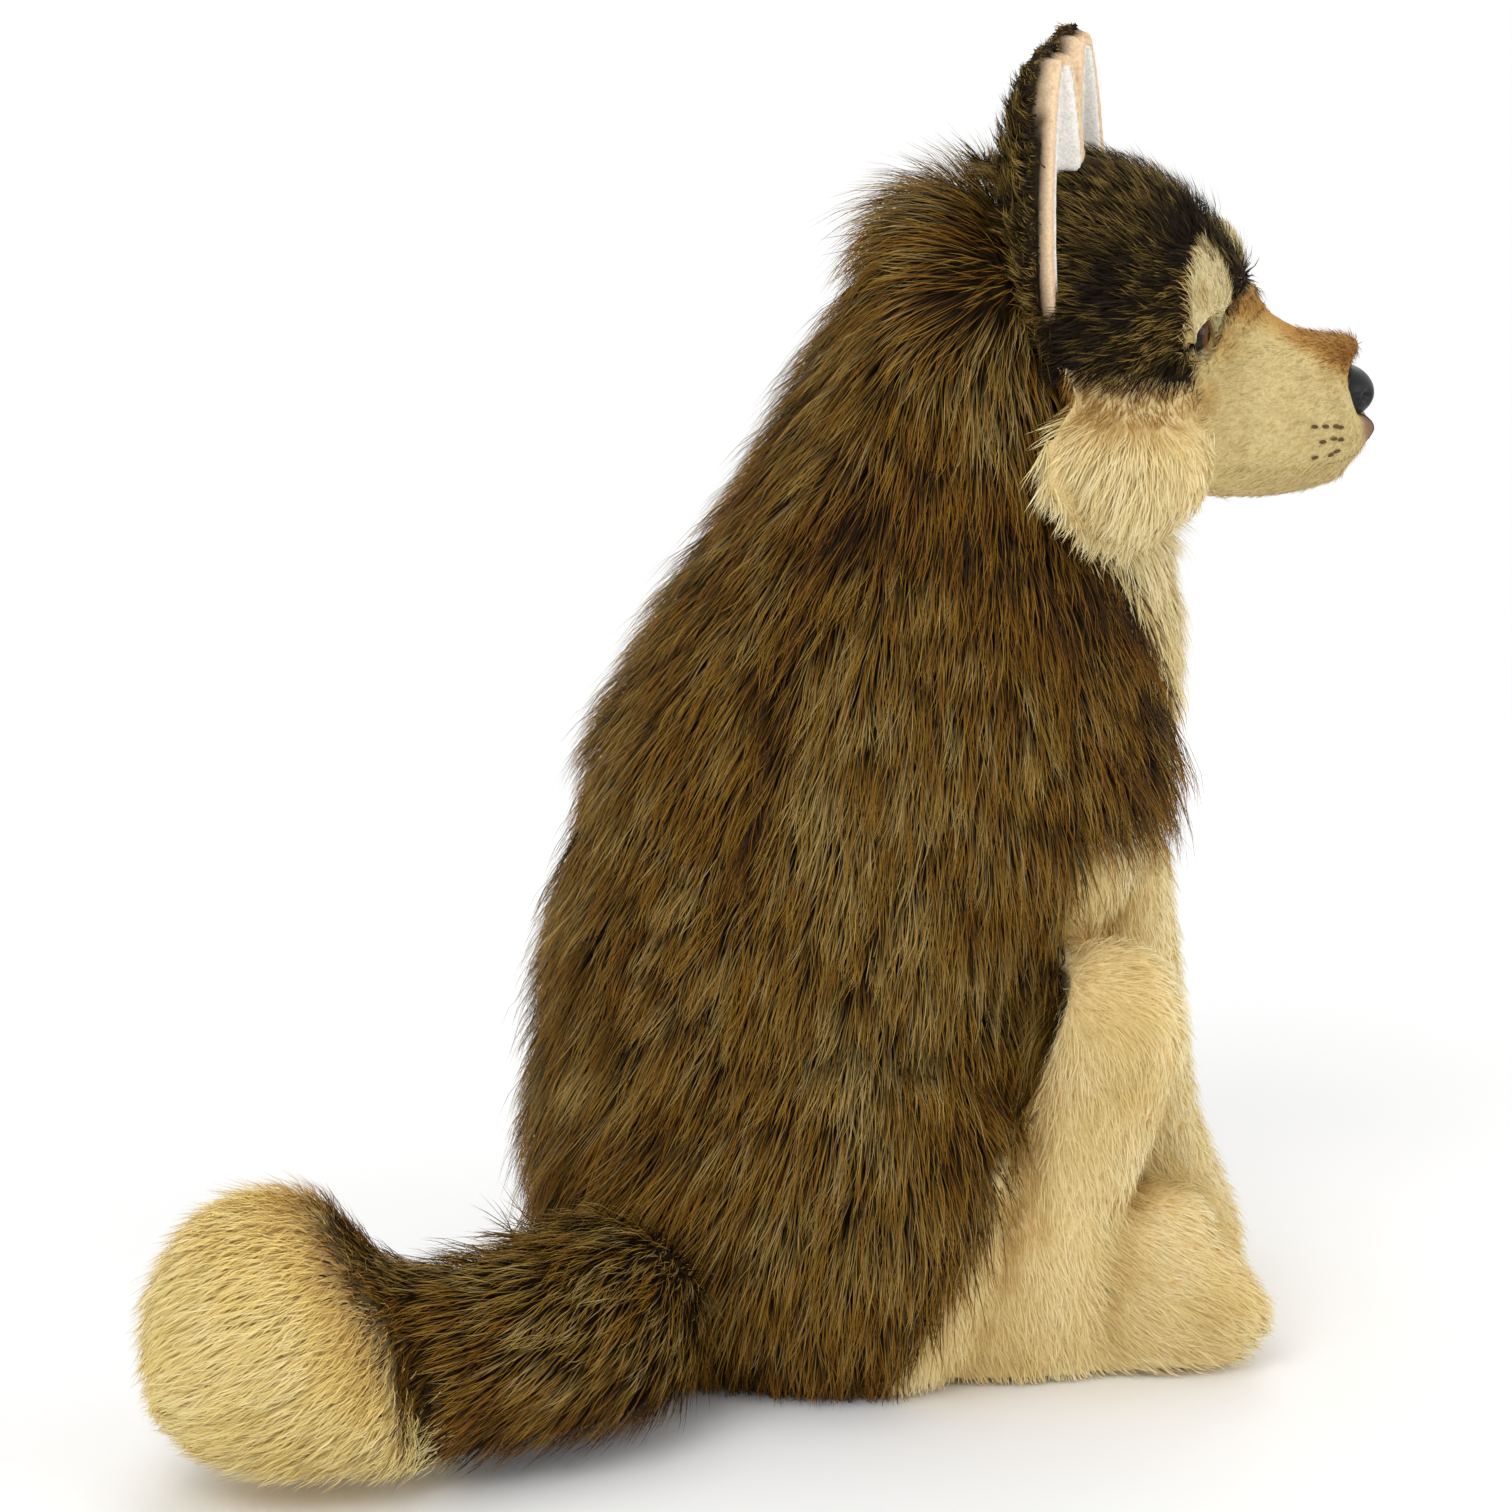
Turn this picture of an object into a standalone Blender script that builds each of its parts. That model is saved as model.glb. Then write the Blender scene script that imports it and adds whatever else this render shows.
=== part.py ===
"""A plush wolf sitting up, its head turned a little to its own right and its tail laid round that side.

Metres, +Z up. The wolf looks along -Y: "ahead" below is a distance towards -Y, and its own right is -X.
The origin is on the floor, under the middle of the body. Each stuffed form is a plain closed solid with the
outline of its pile.
"""

import math
from collections import namedtuple

import bmesh
import bpy
import numpy as np
from mathutils import Matrix, Vector

# Gap left between two pieces that touch, how finely a form is divided, and how square its corners are
SEAM_GAP = 0.0003
FORM_SIDES = 22
SMALL_SIDES = 16
ROWS_PER_SPAN = 3
DOME_ROWS = 4
FORM_SQUARENESS = 2.3
SHARP_EDGE_DEG = 40.0

# Body: a stuffed cone from the seat to the nape, given by what it measures at each height
SEAT_BACK, SEAT_FRONT, SEAT_HALF = -0.086, 0.046, 0.060
HIP_HEIGHT, HIP_BACK, HIP_FRONT, HIP_HALF = 0.048, -0.104, 0.052, 0.072
FLANK_HEIGHT, FLANK_BACK, FLANK_FRONT, FLANK_HALF = 0.116, -0.099, 0.064, 0.068
SHOULDER_HEIGHT, SHOULDER_BACK, SHOULDER_FRONT, SHOULDER_HALF = 0.162, -0.089, 0.087, 0.063
CHEST_HEIGHT, CHEST_BACK, CHEST_FRONT, CHEST_HALF = 0.196, -0.079, 0.088, 0.059
NECK_HEIGHT, NECK_BACK, NECK_FRONT, NECK_HALF = 0.250, -0.046, 0.076, 0.052
NAPE_HEIGHT, NAPE_BACK, NAPE_FRONT, NAPE_HALF = 0.320, -0.005, 0.050, 0.045
NAPE_DOME = 0.028

# Haunches: the thick of each thigh, on both sides of the body
HAUNCH_OUT, HAUNCH_AHEAD, HAUNCH_HEIGHT = 0.048, -0.014, 0.058
HAUNCH_HALF, HAUNCH_LENGTH, HAUNCH_RISE = 0.034, 0.056, 0.069

# Chest: the pale bib from the throat down to the top of the forelegs
BIB_TOP, BIB_TOP_HALF, BIB_TOP_FRONT = 0.246, 0.040, 0.087
BIB_CHEST_HEIGHT, BIB_CHEST_HALF, BIB_CHEST_FRONT = 0.210, 0.030, 0.092
BIB_LOW_HEIGHT, BIB_LOW_HALF, BIB_LOW_FRONT = 0.168, 0.022, 0.090
BIB_SINK, BIB_DOME = 0.060, 0.016

# Forelegs: two straight columns side by side, each ending in a paw
FORELEG_HALF, FORELEG_SPACING, SOLE_INSET = 0.0155, 0.0020, 0.0020
FORELEG_TOP, FORELEG_TOP_BACK, FORELEG_TOP_FRONT = 0.158, 0.042, 0.082
FORELEG_MID, FORELEG_MID_BACK, FORELEG_MID_FRONT = 0.096, 0.050, 0.089
WRIST_HEIGHT, WRIST_BACK, WRIST_FRONT = 0.064, 0.052, 0.095
PAW_HEIGHT, PAW_BACK, PAW_FRONT, PAW_TOP_FRONT = 0.040, 0.053, 0.110, 0.108
PAW_SOLE_BACK, PAW_SOLE_FRONT = 0.056, 0.106
FORELEG_DOME = 0.014

# Hind legs: a raised knee, a shank that runs down and back to the heel, and a foot laid ahead of it
HIND_OUT, KNEE_OUT = 0.046, 0.057
HIND_SOLE_INSET = 0.0090
HEEL_HALF, HEEL_BACK, HEEL_FRONT, HEEL_HEIGHT = 0.019, 0.008, 0.068, 0.024
SHANK_HEIGHT, SHANK_HALF, SHANK_BACK, SHANK_FRONT = 0.060, 0.020, 0.032, 0.067
KNEE_HEIGHT, KNEE_HALF, KNEE_BACK, KNEE_FRONT = 0.106, 0.022, 0.040, 0.081
KNEE_DOME = 0.030
FOOT_HALF, FOOT_PRESS, FOOT_OVERLAP = 0.0160, 0.0010, 0.012
TOE_FRONT, TOE_HEIGHT, SOLE_FRONT = 0.113, 0.020, 0.103
INSTEP_HEIGHT, INSTEP_FRONT, INSTEP_DOME = 0.046, 0.094, 0.013

# Tail: a thick brush from the rump, round to the right, with a pale ball of fur at its end
TAIL_HALF, TAIL_RISE = 0.031, 0.033
TAIL_ROOT_HALF, TAIL_ROOT_RISE = 0.028, 0.030
TAIL_ROOT_OUT, TAIL_ROOT_BEHIND = -0.004, 0.080
TAIL_HIP_OUT, TAIL_HIP_BEHIND = -0.048, 0.078
TAIL_BEND_OUT, TAIL_BEND_BEHIND = -0.084, 0.088
TAIL_END_OUT, TAIL_END_BEHIND = -0.108, 0.140
TIP_OUT, TIP_BEHIND, TIP_HALF, TIP_RISE, TIP_DOME = -0.110, 0.180, 0.039, 0.044, 0.036

# Head: it turns about the top of the neck. What follows is measured from that point
HEAD_TURN_DEG = 16.0
HEAD_AHEAD, HEAD_BELOW_NAPE = 0.045, 0.0035
SKULL_BACK, SKULL_BACK_HALF, SKULL_BACK_LOW, SKULL_BACK_HIGH = -0.026, 0.030, -0.026, 0.029
CROWN_AHEAD, CROWN_HALF, CROWN_LOW, CROWN_HIGH = 0.012, 0.0410, -0.046, 0.038
BROW_AHEAD, BROW_HALF, BROW_LOW, BROW_HIGH = 0.042, 0.0365, -0.048, 0.028
FACE_AHEAD, FACE_HALF, FACE_LOW, FACE_HIGH = 0.057, 0.021, -0.042, 0.012
SKULL_DOME, SKULL_PINCH = 0.009, 0.16

# Muzzle: short pile, narrow along the bridge and broad at the lips
MUZZLE_ROOT, MUZZLE_ROOT_HALF, MUZZLE_ROOT_LOW, MUZZLE_ROOT_HIGH = 0.036, 0.028, -0.060, -0.004
MUZZLE_MID, MUZZLE_MID_HALF, MUZZLE_MID_LOW, MUZZLE_MID_HIGH = 0.066, 0.027, -0.0615, -0.0085
MUZZLE_LIP, MUZZLE_LIP_HALF, MUZZLE_LIP_LOW, MUZZLE_LIP_HIGH = 0.087, 0.0215, -0.0570, -0.0125
MUZZLE_END, MUZZLE_END_HALF, MUZZLE_END_LOW, MUZZLE_END_HIGH = 0.0935, 0.0165, -0.0495, -0.0215
MUZZLE_DOME, MUZZLE_PINCH = 0.0035, 0.30

# Nose: a moulded button with a stem through the muzzle's fabric, held by a washer behind it
NOSE_HALF, NOSE_RISE, NOSE_DEPTH, NOSE_UP, NOSE_SINK = 0.0092, 0.0072, 0.0095, -0.0285, 0.0075
NOSE_STEM_RADIUS, NOSE_STEM_LENGTH = 0.0025, 0.012

# Eyes: a glass-look dome with the same kind of stem and washer, each in a pale sewn patch
EYE_RADIUS, EYE_BULGE, EYE_STEM_RADIUS, EYE_STEM_LENGTH = 0.0065, 0.0045, 0.0020, 0.010
EYE_OUT, EYE_UP, EYE_SET_BACK, EYE_TOE_OUT_DEG = 0.0265, -0.0110, 0.0100, 20.0
PATCH_OUT, PATCH_UP, PATCH_AHEAD = 0.0240, -0.003, 0.0490
PATCH_HALF, PATCH_RISE, PATCH_DEPTH = 0.0125, 0.0190, 0.0105
WASHER_RADIUS, WASHER_THICKNESS, WASHER_SET_BACK, SOCKET_REACH = 0.0045, 0.0012, 0.0030, 0.020

# Cheeks: a hanging ruff of long pile under each side of the cap
CHEEK_OUT, CHEEK_AHEAD, CHEEK_UP = 0.032, 0.0255, -0.0485
CHEEK_HALF, CHEEK_LENGTH, CHEEK_RISE = 0.024, 0.031, 0.025

# Ears: upright cupped leaves, dark behind and lined in front
EAR_OUT, EAR_TIP_OUT, EAR_HEIGHT = 0.0310, 0.0260, 0.071
EAR_HALF, EAR_CUP, EAR_WALL = 0.0190, 0.0190, 0.0055
EAR_TIP_CUP, EAR_TIP_WALL, EAR_THICKEST = 0.0060, 0.0017, 0.85
EAR_AHEAD, EAR_TIP_AHEAD, EAR_ROOT_SINK = 0.011, 0.0075, 0.052
EAR_TURN_RIGHT_DEG, EAR_TURN_LEFT_DEG = 13.0, -7.0
EAR_TAPER, EAR_ROUNDING, EAR_ROWS, EAR_TOP = 3.0, 0.75, 9, 0.985
LINING_THICKNESS, LINING_TOP = 0.0022, 0.90

Row = namedtuple("Row", "level low high half out")


def smooth(rows):
    """The given rows with more between them, on a Catmull-Rom curve through each measure."""
    table = np.array(rows)
    slopes = np.gradient(table, axis=0)
    made = []
    for i in range(len(table) - 1):
        for t in np.arange(ROWS_PER_SPAN) / ROWS_PER_SPAN:
            start, end = (1 + 2 * t) * (1 - t) ** 2, t * t * (3 - 2 * t)
            leave, reach = t * (1 - t) ** 2, t * t * (t - 1)
            made.append(start * table[i] + end * table[i + 1] + leave * slopes[i] + reach * slopes[i + 1])
    made.append(table[-1])
    return [Row(*row) for row in made]


def domed(row, length, closing):
    """Rows that round a form off past its last row, as a quarter of an ellipse."""
    middle, half_height = (row.low + row.high) / 2, (row.high - row.low) / 2
    made = []
    for k in range(1, DOME_ROWS):
        angle = math.pi / 2 * k / DOME_ROWS
        share = math.cos(angle)
        made.append(
            Row(
                row.level + closing * length * math.sin(angle),
                middle - half_height * share,
                middle + half_height * share,
                row.half * share,
                row.out,
            )
        )
    return made


def section(row, sides, grow, pinch):
    """Points round one row: across, then along its second measure. A pinch narrows the high side."""
    middle, half_height = (row.low + row.high) / 2, (row.high - row.low) / 2 + grow
    points = []
    for i in range(sides):
        angle = 2 * math.pi * (i + 0.5) / sides
        across, along = math.cos(angle), math.sin(angle)
        across = math.copysign(abs(across) ** (2 / FORM_SQUARENESS), across)
        along = math.copysign(abs(along) ** (2 / FORM_SQUARENESS), along)
        half = (row.half + grow) * (1 - pinch * along)
        points.append((row.out + half * across, middle + half_height * along))
    return points


def skin(rings, poles):
    """A closed mesh over rings of points, each end closed by a pole or, where that is None, by a flat cap."""
    work = bmesh.new()
    loops = [[work.verts.new(point) for point in ring] for ring in rings]
    for near, far in zip(loops, loops[1:]):
        for i in range(len(near)):
            j = (i + 1) % len(near)
            # Split the same way in every form, so that a grown form clears the one it was grown from
            work.faces.new((near[i], near[j], far[j]))
            work.faces.new((near[i], far[j], far[i]))
    for loop, pole in ((loops[0], poles[0]), (loops[-1], poles[1])):
        if pole is None:
            work.faces.new(loop)
            continue
        tip = work.verts.new(pole)
        for i in range(len(loop)):
            work.faces.new((loop[i], loop[(i + 1) % len(loop)], tip))
    bmesh.ops.recalc_face_normals(work, faces=work.faces)
    mesh = bpy.data.meshes.new("form")
    work.to_mesh(mesh)
    work.free()
    return mesh


def loft(rows, place, grow, start_dome=0.0, end_dome=0.0, sides=FORM_SIDES, pinch=0.0):
    """A stuffed form through rows, with flat ends or domes. place turns a row's measures into a point."""
    rows = smooth(rows)
    first, last = rows[0], rows[-1]
    poles = [None, None]
    if end_dome:
        rows = rows + domed(last, end_dome + grow, 1)
        poles[1] = place(last.out, (last.low + last.high) / 2, last.level + end_dome + grow)
    else:
        rows[-1] = last._replace(level=last.level + grow)
    if start_dome:
        rows = domed(first, start_dome + grow, -1)[::-1] + rows
        poles[0] = place(first.out, (first.low + first.high) / 2, first.level - start_dome - grow)
    else:
        rows[0] = first._replace(level=first.level - grow)
    rings = []
    for row in rows:
        outline = section(row, sides, grow, pinch)
        rings.append([place(across, second, row.level) for across, second in outline])
    return skin(rings, poles)


def upright(across, ahead, height):
    return (across, -ahead, height)


def forward(across, height, ahead):
    return (across, -ahead, height)


def pad(centre, radii, grow, sides=SMALL_SIDES, floor=None):
    """An egg of stuffing: centre and radii are across, ahead and up. A floor, if given, cuts it level."""
    rows = sides // 2
    rings = []
    for k in range(1, rows):
        polar = math.pi * k / rows
        ring = []
        for i in range(sides):
            angle = 2 * math.pi * (i + 0.5) / sides
            unit = (math.sin(polar) * math.cos(angle), math.sin(polar) * math.sin(angle), -math.cos(polar))
            point = [middle + (radius + grow) * part for middle, radius, part in zip(centre, radii, unit)]
            ring.append(upright(*point))
        rings.append(ring)
    poles = [upright(centre[0], centre[1], centre[2] + side * (radii[2] + grow)) for side in (-1, 1)]
    mesh = skin(rings, poles)
    if floor is not None:
        work = bmesh.new()
        work.from_mesh(mesh)
        everything = work.verts[:] + work.edges[:] + work.faces[:]
        cut = bmesh.ops.bisect_plane(
            work, geom=everything, plane_co=(0, 0, floor - grow), plane_no=(0, 0, -1), clear_outer=True
        )
        rim = [part for part in cut["geom_cut"] if isinstance(part, bmesh.types.BMEdge)]
        bmesh.ops.edgeloop_fill(work, edges=rim)
        bmesh.ops.recalc_face_normals(work, faces=work.faces)
        work.to_mesh(mesh)
        work.free()
    return mesh


def body_form(grow):
    rows = (
        Row(0.0, SEAT_BACK, SEAT_FRONT, SEAT_HALF, 0),
        Row(HIP_HEIGHT, HIP_BACK, HIP_FRONT, HIP_HALF, 0),
        Row(FLANK_HEIGHT, FLANK_BACK, FLANK_FRONT, FLANK_HALF, 0),
        Row(SHOULDER_HEIGHT, SHOULDER_BACK, SHOULDER_FRONT, SHOULDER_HALF, 0),
        Row(CHEST_HEIGHT, CHEST_BACK, CHEST_FRONT, CHEST_HALF, 0),
        Row(NECK_HEIGHT, NECK_BACK, NECK_FRONT, NECK_HALF, 0),
        Row(NAPE_HEIGHT, NAPE_BACK, NAPE_FRONT, NAPE_HALF, 0),
    )
    return loft(rows, upright, grow, end_dome=NAPE_DOME)


def haunch_form(side, grow):
    centre = (side * HAUNCH_OUT, HAUNCH_AHEAD, HAUNCH_HEIGHT)
    return pad(centre, (HAUNCH_HALF, HAUNCH_LENGTH, HAUNCH_RISE), grow, FORM_SIDES, floor=0.0)


def bib_form(grow):
    rows = (
        Row(BIB_LOW_HEIGHT, BIB_LOW_FRONT - BIB_SINK, BIB_LOW_FRONT, BIB_LOW_HALF, 0),
        Row(BIB_CHEST_HEIGHT, BIB_CHEST_FRONT - BIB_SINK, BIB_CHEST_FRONT, BIB_CHEST_HALF, 0),
        Row(BIB_TOP, BIB_TOP_FRONT - BIB_SINK, BIB_TOP_FRONT, BIB_TOP_HALF, 0),
    )
    return loft(rows, upright, grow, BIB_DOME, BIB_DOME)


def foreleg_form(side, grow):
    out = side * (FORELEG_HALF + FORELEG_SPACING / 2)
    rows = (
        Row(0.0, PAW_SOLE_BACK, PAW_SOLE_FRONT, FORELEG_HALF - SOLE_INSET, out),
        Row(PAW_HEIGHT / 2, PAW_BACK, PAW_FRONT, FORELEG_HALF, out),
        Row(PAW_HEIGHT, PAW_BACK, PAW_TOP_FRONT, FORELEG_HALF, out),
        Row(WRIST_HEIGHT, WRIST_BACK, WRIST_FRONT, FORELEG_HALF, out),
        Row(FORELEG_MID, FORELEG_MID_BACK, FORELEG_MID_FRONT, FORELEG_HALF, out),
        Row(FORELEG_TOP, FORELEG_TOP_BACK, FORELEG_TOP_FRONT, FORELEG_HALF, out),
    )
    return loft(rows, upright, grow, end_dome=FORELEG_DOME, sides=SMALL_SIDES)


def hind_leg_form(side, grow):
    rows = (
        Row(0.0, HEEL_BACK, HEEL_FRONT, HEEL_HALF - HIND_SOLE_INSET, side * HIND_OUT),
        Row(HEEL_HEIGHT, HEEL_BACK, HEEL_FRONT, HEEL_HALF, side * HIND_OUT),
        Row(SHANK_HEIGHT, SHANK_BACK, SHANK_FRONT, SHANK_HALF, side * (HIND_OUT + KNEE_OUT) / 2),
        Row(KNEE_HEIGHT, KNEE_BACK, KNEE_FRONT, KNEE_HALF, side * KNEE_OUT),
    )
    return loft(rows, upright, grow, end_dome=KNEE_DOME, sides=SMALL_SIDES)


def foot_form(side, grow):
    back = HEEL_FRONT - FOOT_OVERLAP
    out = side * (2 * FORELEG_HALF + FORELEG_SPACING / 2 + FOOT_HALF - FOOT_PRESS)
    rows = (
        Row(0.0, back, SOLE_FRONT, FOOT_HALF - HIND_SOLE_INSET, out),
        Row(TOE_HEIGHT, back, TOE_FRONT, FOOT_HALF, out),
        Row(INSTEP_HEIGHT, back, INSTEP_FRONT, FOOT_HALF, out),
    )
    return loft(rows, upright, grow, end_dome=INSTEP_DOME, sides=SMALL_SIDES)


def brush(stations, grow, end_dome):
    """A brush of fur along a curve on the floor. A station is across, behind, half width and half height."""
    rows = smooth([Row(*station, 0.0) for station in stations])
    spine = np.array([(row.level, row.low) for row in rows])
    heading = np.gradient(spine, axis=0)
    heading /= np.linalg.norm(heading, axis=1)[:, None]
    steps = [(spine[k], heading[k], 1.0, rows[k]) for k in range(len(rows))]
    poles = [None, None]
    if end_dome:
        for k in range(1, DOME_ROWS + 1):
            angle = math.pi / 2 * k / (DOME_ROWS + 1)
            centre = spine[-1] + heading[-1] * (end_dome + grow) * math.sin(angle)
            steps.append((centre, heading[-1], math.cos(angle), rows[-1]))
        tip = spine[-1] + heading[-1] * (end_dome + grow)
        poles[1] = (tip[0], tip[1], rows[-1].half)
    rings = []
    for centre, along, share, row in steps:
        ring = []
        for i in range(FORM_SIDES):
            angle = 2 * math.pi * (i + 0.5) / FORM_SIDES
            sideways = (row.high + grow) * share * math.cos(angle)
            height = row.half + (row.half + grow) * share * math.sin(angle)
            ring.append((centre[0] - along[1] * sideways, centre[1] + along[0] * sideways, height))
        rings.append(ring)
    return skin(rings, poles)


def tail_form(grow):
    stations = (
        (TAIL_ROOT_OUT, TAIL_ROOT_BEHIND, TAIL_ROOT_HALF, TAIL_ROOT_RISE),
        (TAIL_HIP_OUT, TAIL_HIP_BEHIND, TAIL_HALF, TAIL_RISE),
        (TAIL_BEND_OUT, TAIL_BEND_BEHIND, TAIL_HALF, TAIL_RISE),
        (TAIL_END_OUT, TAIL_END_BEHIND, TAIL_HALF, TAIL_RISE),
    )
    return brush(stations, grow, 0.0)


def tail_tip_form(grow):
    stations = (
        (TAIL_END_OUT, TAIL_END_BEHIND, TAIL_HALF, TAIL_RISE),
        ((TAIL_END_OUT + TIP_OUT) / 2, (TAIL_END_BEHIND + TIP_BEHIND) / 2, TIP_HALF, TIP_RISE),
        (TIP_OUT, TIP_BEHIND, TIP_HALF, TIP_RISE),
    )
    return brush(stations, grow, TIP_DOME)


def head_form(grow):
    rows = (
        Row(SKULL_BACK, SKULL_BACK_LOW, SKULL_BACK_HIGH, SKULL_BACK_HALF, 0),
        Row(CROWN_AHEAD, CROWN_LOW, CROWN_HIGH, CROWN_HALF, 0),
        Row(BROW_AHEAD, BROW_LOW, BROW_HIGH, BROW_HALF, 0),
        Row(FACE_AHEAD, FACE_LOW, FACE_HIGH, FACE_HALF, 0),
    )
    return loft(rows, forward, grow, SKULL_DOME, SKULL_DOME, pinch=SKULL_PINCH)


def muzzle_form(grow):
    rows = (
        Row(MUZZLE_ROOT, MUZZLE_ROOT_LOW, MUZZLE_ROOT_HIGH, MUZZLE_ROOT_HALF, 0),
        Row(MUZZLE_MID, MUZZLE_MID_LOW, MUZZLE_MID_HIGH, MUZZLE_MID_HALF, 0),
        Row(MUZZLE_LIP, MUZZLE_LIP_LOW, MUZZLE_LIP_HIGH, MUZZLE_LIP_HALF, 0),
        Row(MUZZLE_END, MUZZLE_END_LOW, MUZZLE_END_HIGH, MUZZLE_END_HALF, 0),
    )
    return loft(rows, forward, grow, end_dome=MUZZLE_DOME, pinch=MUZZLE_PINCH)


def cheek_form(side, grow):
    return pad((side * CHEEK_OUT, CHEEK_AHEAD, CHEEK_UP), (CHEEK_HALF, CHEEK_LENGTH, CHEEK_RISE), grow)


def patch_form(side, grow):
    return pad((side * PATCH_OUT, PATCH_AHEAD, PATCH_UP), (PATCH_HALF, PATCH_DEPTH, PATCH_RISE), grow)


def ear_outline(side, rise):
    """At this share of an ear's height: the middle of its rim, its half width, cup depth and wall."""
    share = max(1 - rise**EAR_TAPER, 0.0) ** EAR_ROUNDING
    out = EAR_OUT + (EAR_TIP_OUT - EAR_OUT) * rise
    ahead = EAR_AHEAD + (EAR_TIP_AHEAD - EAR_AHEAD) * rise
    root = CROWN_HIGH - EAR_ROOT_SINK
    middle = Vector(upright(side * out, ahead, root + (EAR_HEIGHT - root) * rise))
    cup = EAR_TIP_CUP + (EAR_CUP - EAR_TIP_CUP) * share
    wall = EAR_TIP_WALL + (EAR_WALL - EAR_TIP_WALL) * share
    return middle, EAR_HALF * share, cup, wall


def ear_layer(side, lining, grow):
    """A cupped leaf, open ahead. The ear is its outer wall, and the lining lies inside that with a gap."""
    outward = EAR_TURN_RIGHT_DEG if side < 0 else EAR_TURN_LEFT_DEG
    turn = Matrix.Rotation(math.radians(side * outward), 3, "Z")
    top = LINING_TOP if lining else EAR_TOP
    rings = []
    for k in range(EAR_ROWS + 1):
        middle, wide, deep, thick = ear_outline(side, top * math.sin(math.pi / 2 * k / EAR_ROWS))
        outer = thick + SEAM_GAP if lining else -grow
        inner = outer + LINING_THICKNESS if lining else thick
        inner = min(inner, EAR_THICKEST * wide)
        ring = []
        steps = SMALL_SIDES // 2
        for wall, order in ((outer, range(steps + 1)), (inner, range(steps, -1, -1))):
            for i in order:
                angle = math.pi * i / steps
                point = Vector(((wide - wall) * math.cos(angle), (deep - wall) * math.sin(angle), 0))
                ring.append(middle + turn @ point)
        rings.append(ring)
    return skin(rings, (None, None))


def ring_of(half_across, half_along, height):
    angles = [2 * math.pi * i / SMALL_SIDES for i in range(SMALL_SIDES)]
    return [(half_across * math.cos(a), half_along * math.sin(a), height) for a in angles]


def button_mesh(half_across, half_along, bulge, stem_radius, stem_length):
    """A moulded dome with a flat back at height 0 and a round stem below it."""
    rings = [ring_of(stem_radius, stem_radius, -stem_length), ring_of(stem_radius, stem_radius, 0)]
    rings.append(ring_of(half_across, half_along, 0))
    for k in range(1, DOME_ROWS + 1):
        angle = math.pi / 2 * k / (DOME_ROWS + 1)
        share = math.cos(angle)
        rings.append(ring_of(half_across * share, half_along * share, bulge * math.sin(angle)))
    return skin(rings, (None, (0, 0, bulge)))


def socket_mesh(half_across, half_along, stem_length):
    """What a button needs clear: a pocket for its stem and washer, and a wider seat for its dome."""
    pocket = WASHER_RADIUS + SEAM_GAP
    seat_across, seat_along = half_across + SEAM_GAP, half_along + SEAM_GAP
    rings = [ring_of(pocket, pocket, -stem_length - SEAM_GAP), ring_of(pocket, pocket, -SEAM_GAP)]
    rings += [ring_of(seat_across, seat_along, -SEAM_GAP), ring_of(seat_across, seat_along, SOCKET_REACH)]
    return skin(rings, (None, None))


def washer_mesh(stem_radius):
    """A flat ring about Z, centred on its thickness, free to slide on its stem."""
    bore, half = stem_radius + SEAM_GAP, WASHER_THICKNESS / 2
    corners = ((bore, -half), (WASHER_RADIUS, -half), (WASHER_RADIUS, half), (bore, half))
    work = bmesh.new()
    loops = []
    for radius, height in corners:
        loops.append([work.verts.new(point) for point in ring_of(radius, radius, height)])
    for k in range(len(loops)):
        near, far = loops[k], loops[(k + 1) % len(loops)]
        for i in range(SMALL_SIDES):
            j = (i + 1) % SMALL_SIDES
            work.faces.new((near[i], near[j], far[j], far[i]))
    bmesh.ops.recalc_face_normals(work, faces=work.faces)
    mesh = bpy.data.meshes.new("washer")
    work.to_mesh(mesh)
    work.free()
    return mesh


def finish(name, colour, roughness):
    """A Principled material, made once for each name."""
    made = bpy.data.materials.get(name)
    if made is None:
        made = bpy.data.materials.new(name)
        made.use_nodes = True
        shader = made.node_tree.nodes["Principled BSDF"]
        shader.inputs["Base Color"].default_value = (*colour, 1)
        shader.inputs["Roughness"].default_value = roughness
        shader.inputs["Metallic"].default_value = 0
    return made


def add(name, mesh, material, parent=None, spot=None):
    """An object with this mesh, set on a parent and at a spot if they are given."""
    made = bpy.data.objects.new(name, mesh)
    bpy.context.scene.collection.objects.link(made)
    mesh.name = name
    if material:
        mesh.materials.append(material)
        mesh.shade_smooth()
        mesh.set_sharp_from_angle(angle=math.radians(SHARP_EDGE_DEG))
    made.parent = parent
    if spot is not None:
        made.matrix_local = spot
    return made


def cutter(name, mesh, parent=None, spot=None):
    made = add(name, mesh, None, parent, spot)
    made.hide_render = True
    made.display_type = "WIRE"
    return made


def cut(piece, *tools):
    for tool in tools:
        trim = piece.modifiers.new("clear_" + tool.name, "BOOLEAN")
        trim.operation = "DIFFERENCE"
        trim.solver = "EXACT"
        trim.object = tool


for leftover in list(bpy.data.objects):
    bpy.data.objects.remove(leftover)

MANTLE = finish("mantle_fur", (0.110, 0.062, 0.024), 0.90)
CREAM = finish("cream_fur", (0.640, 0.500, 0.270), 0.90)
SHORT_PILE = finish("muzzle_pile", (0.520, 0.400, 0.190), 0.85)
LINING = finish("ear_lining", (0.780, 0.680, 0.560), 0.80)
MOULDED = finish("nose_plastic", (0.010, 0.010, 0.012), 0.40)
GLASSY = finish("eye_plastic", (0.020, 0.012, 0.008), 0.08)
WASHER = finish("washer_plastic", (0.700, 0.700, 0.680), 0.50)

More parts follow.
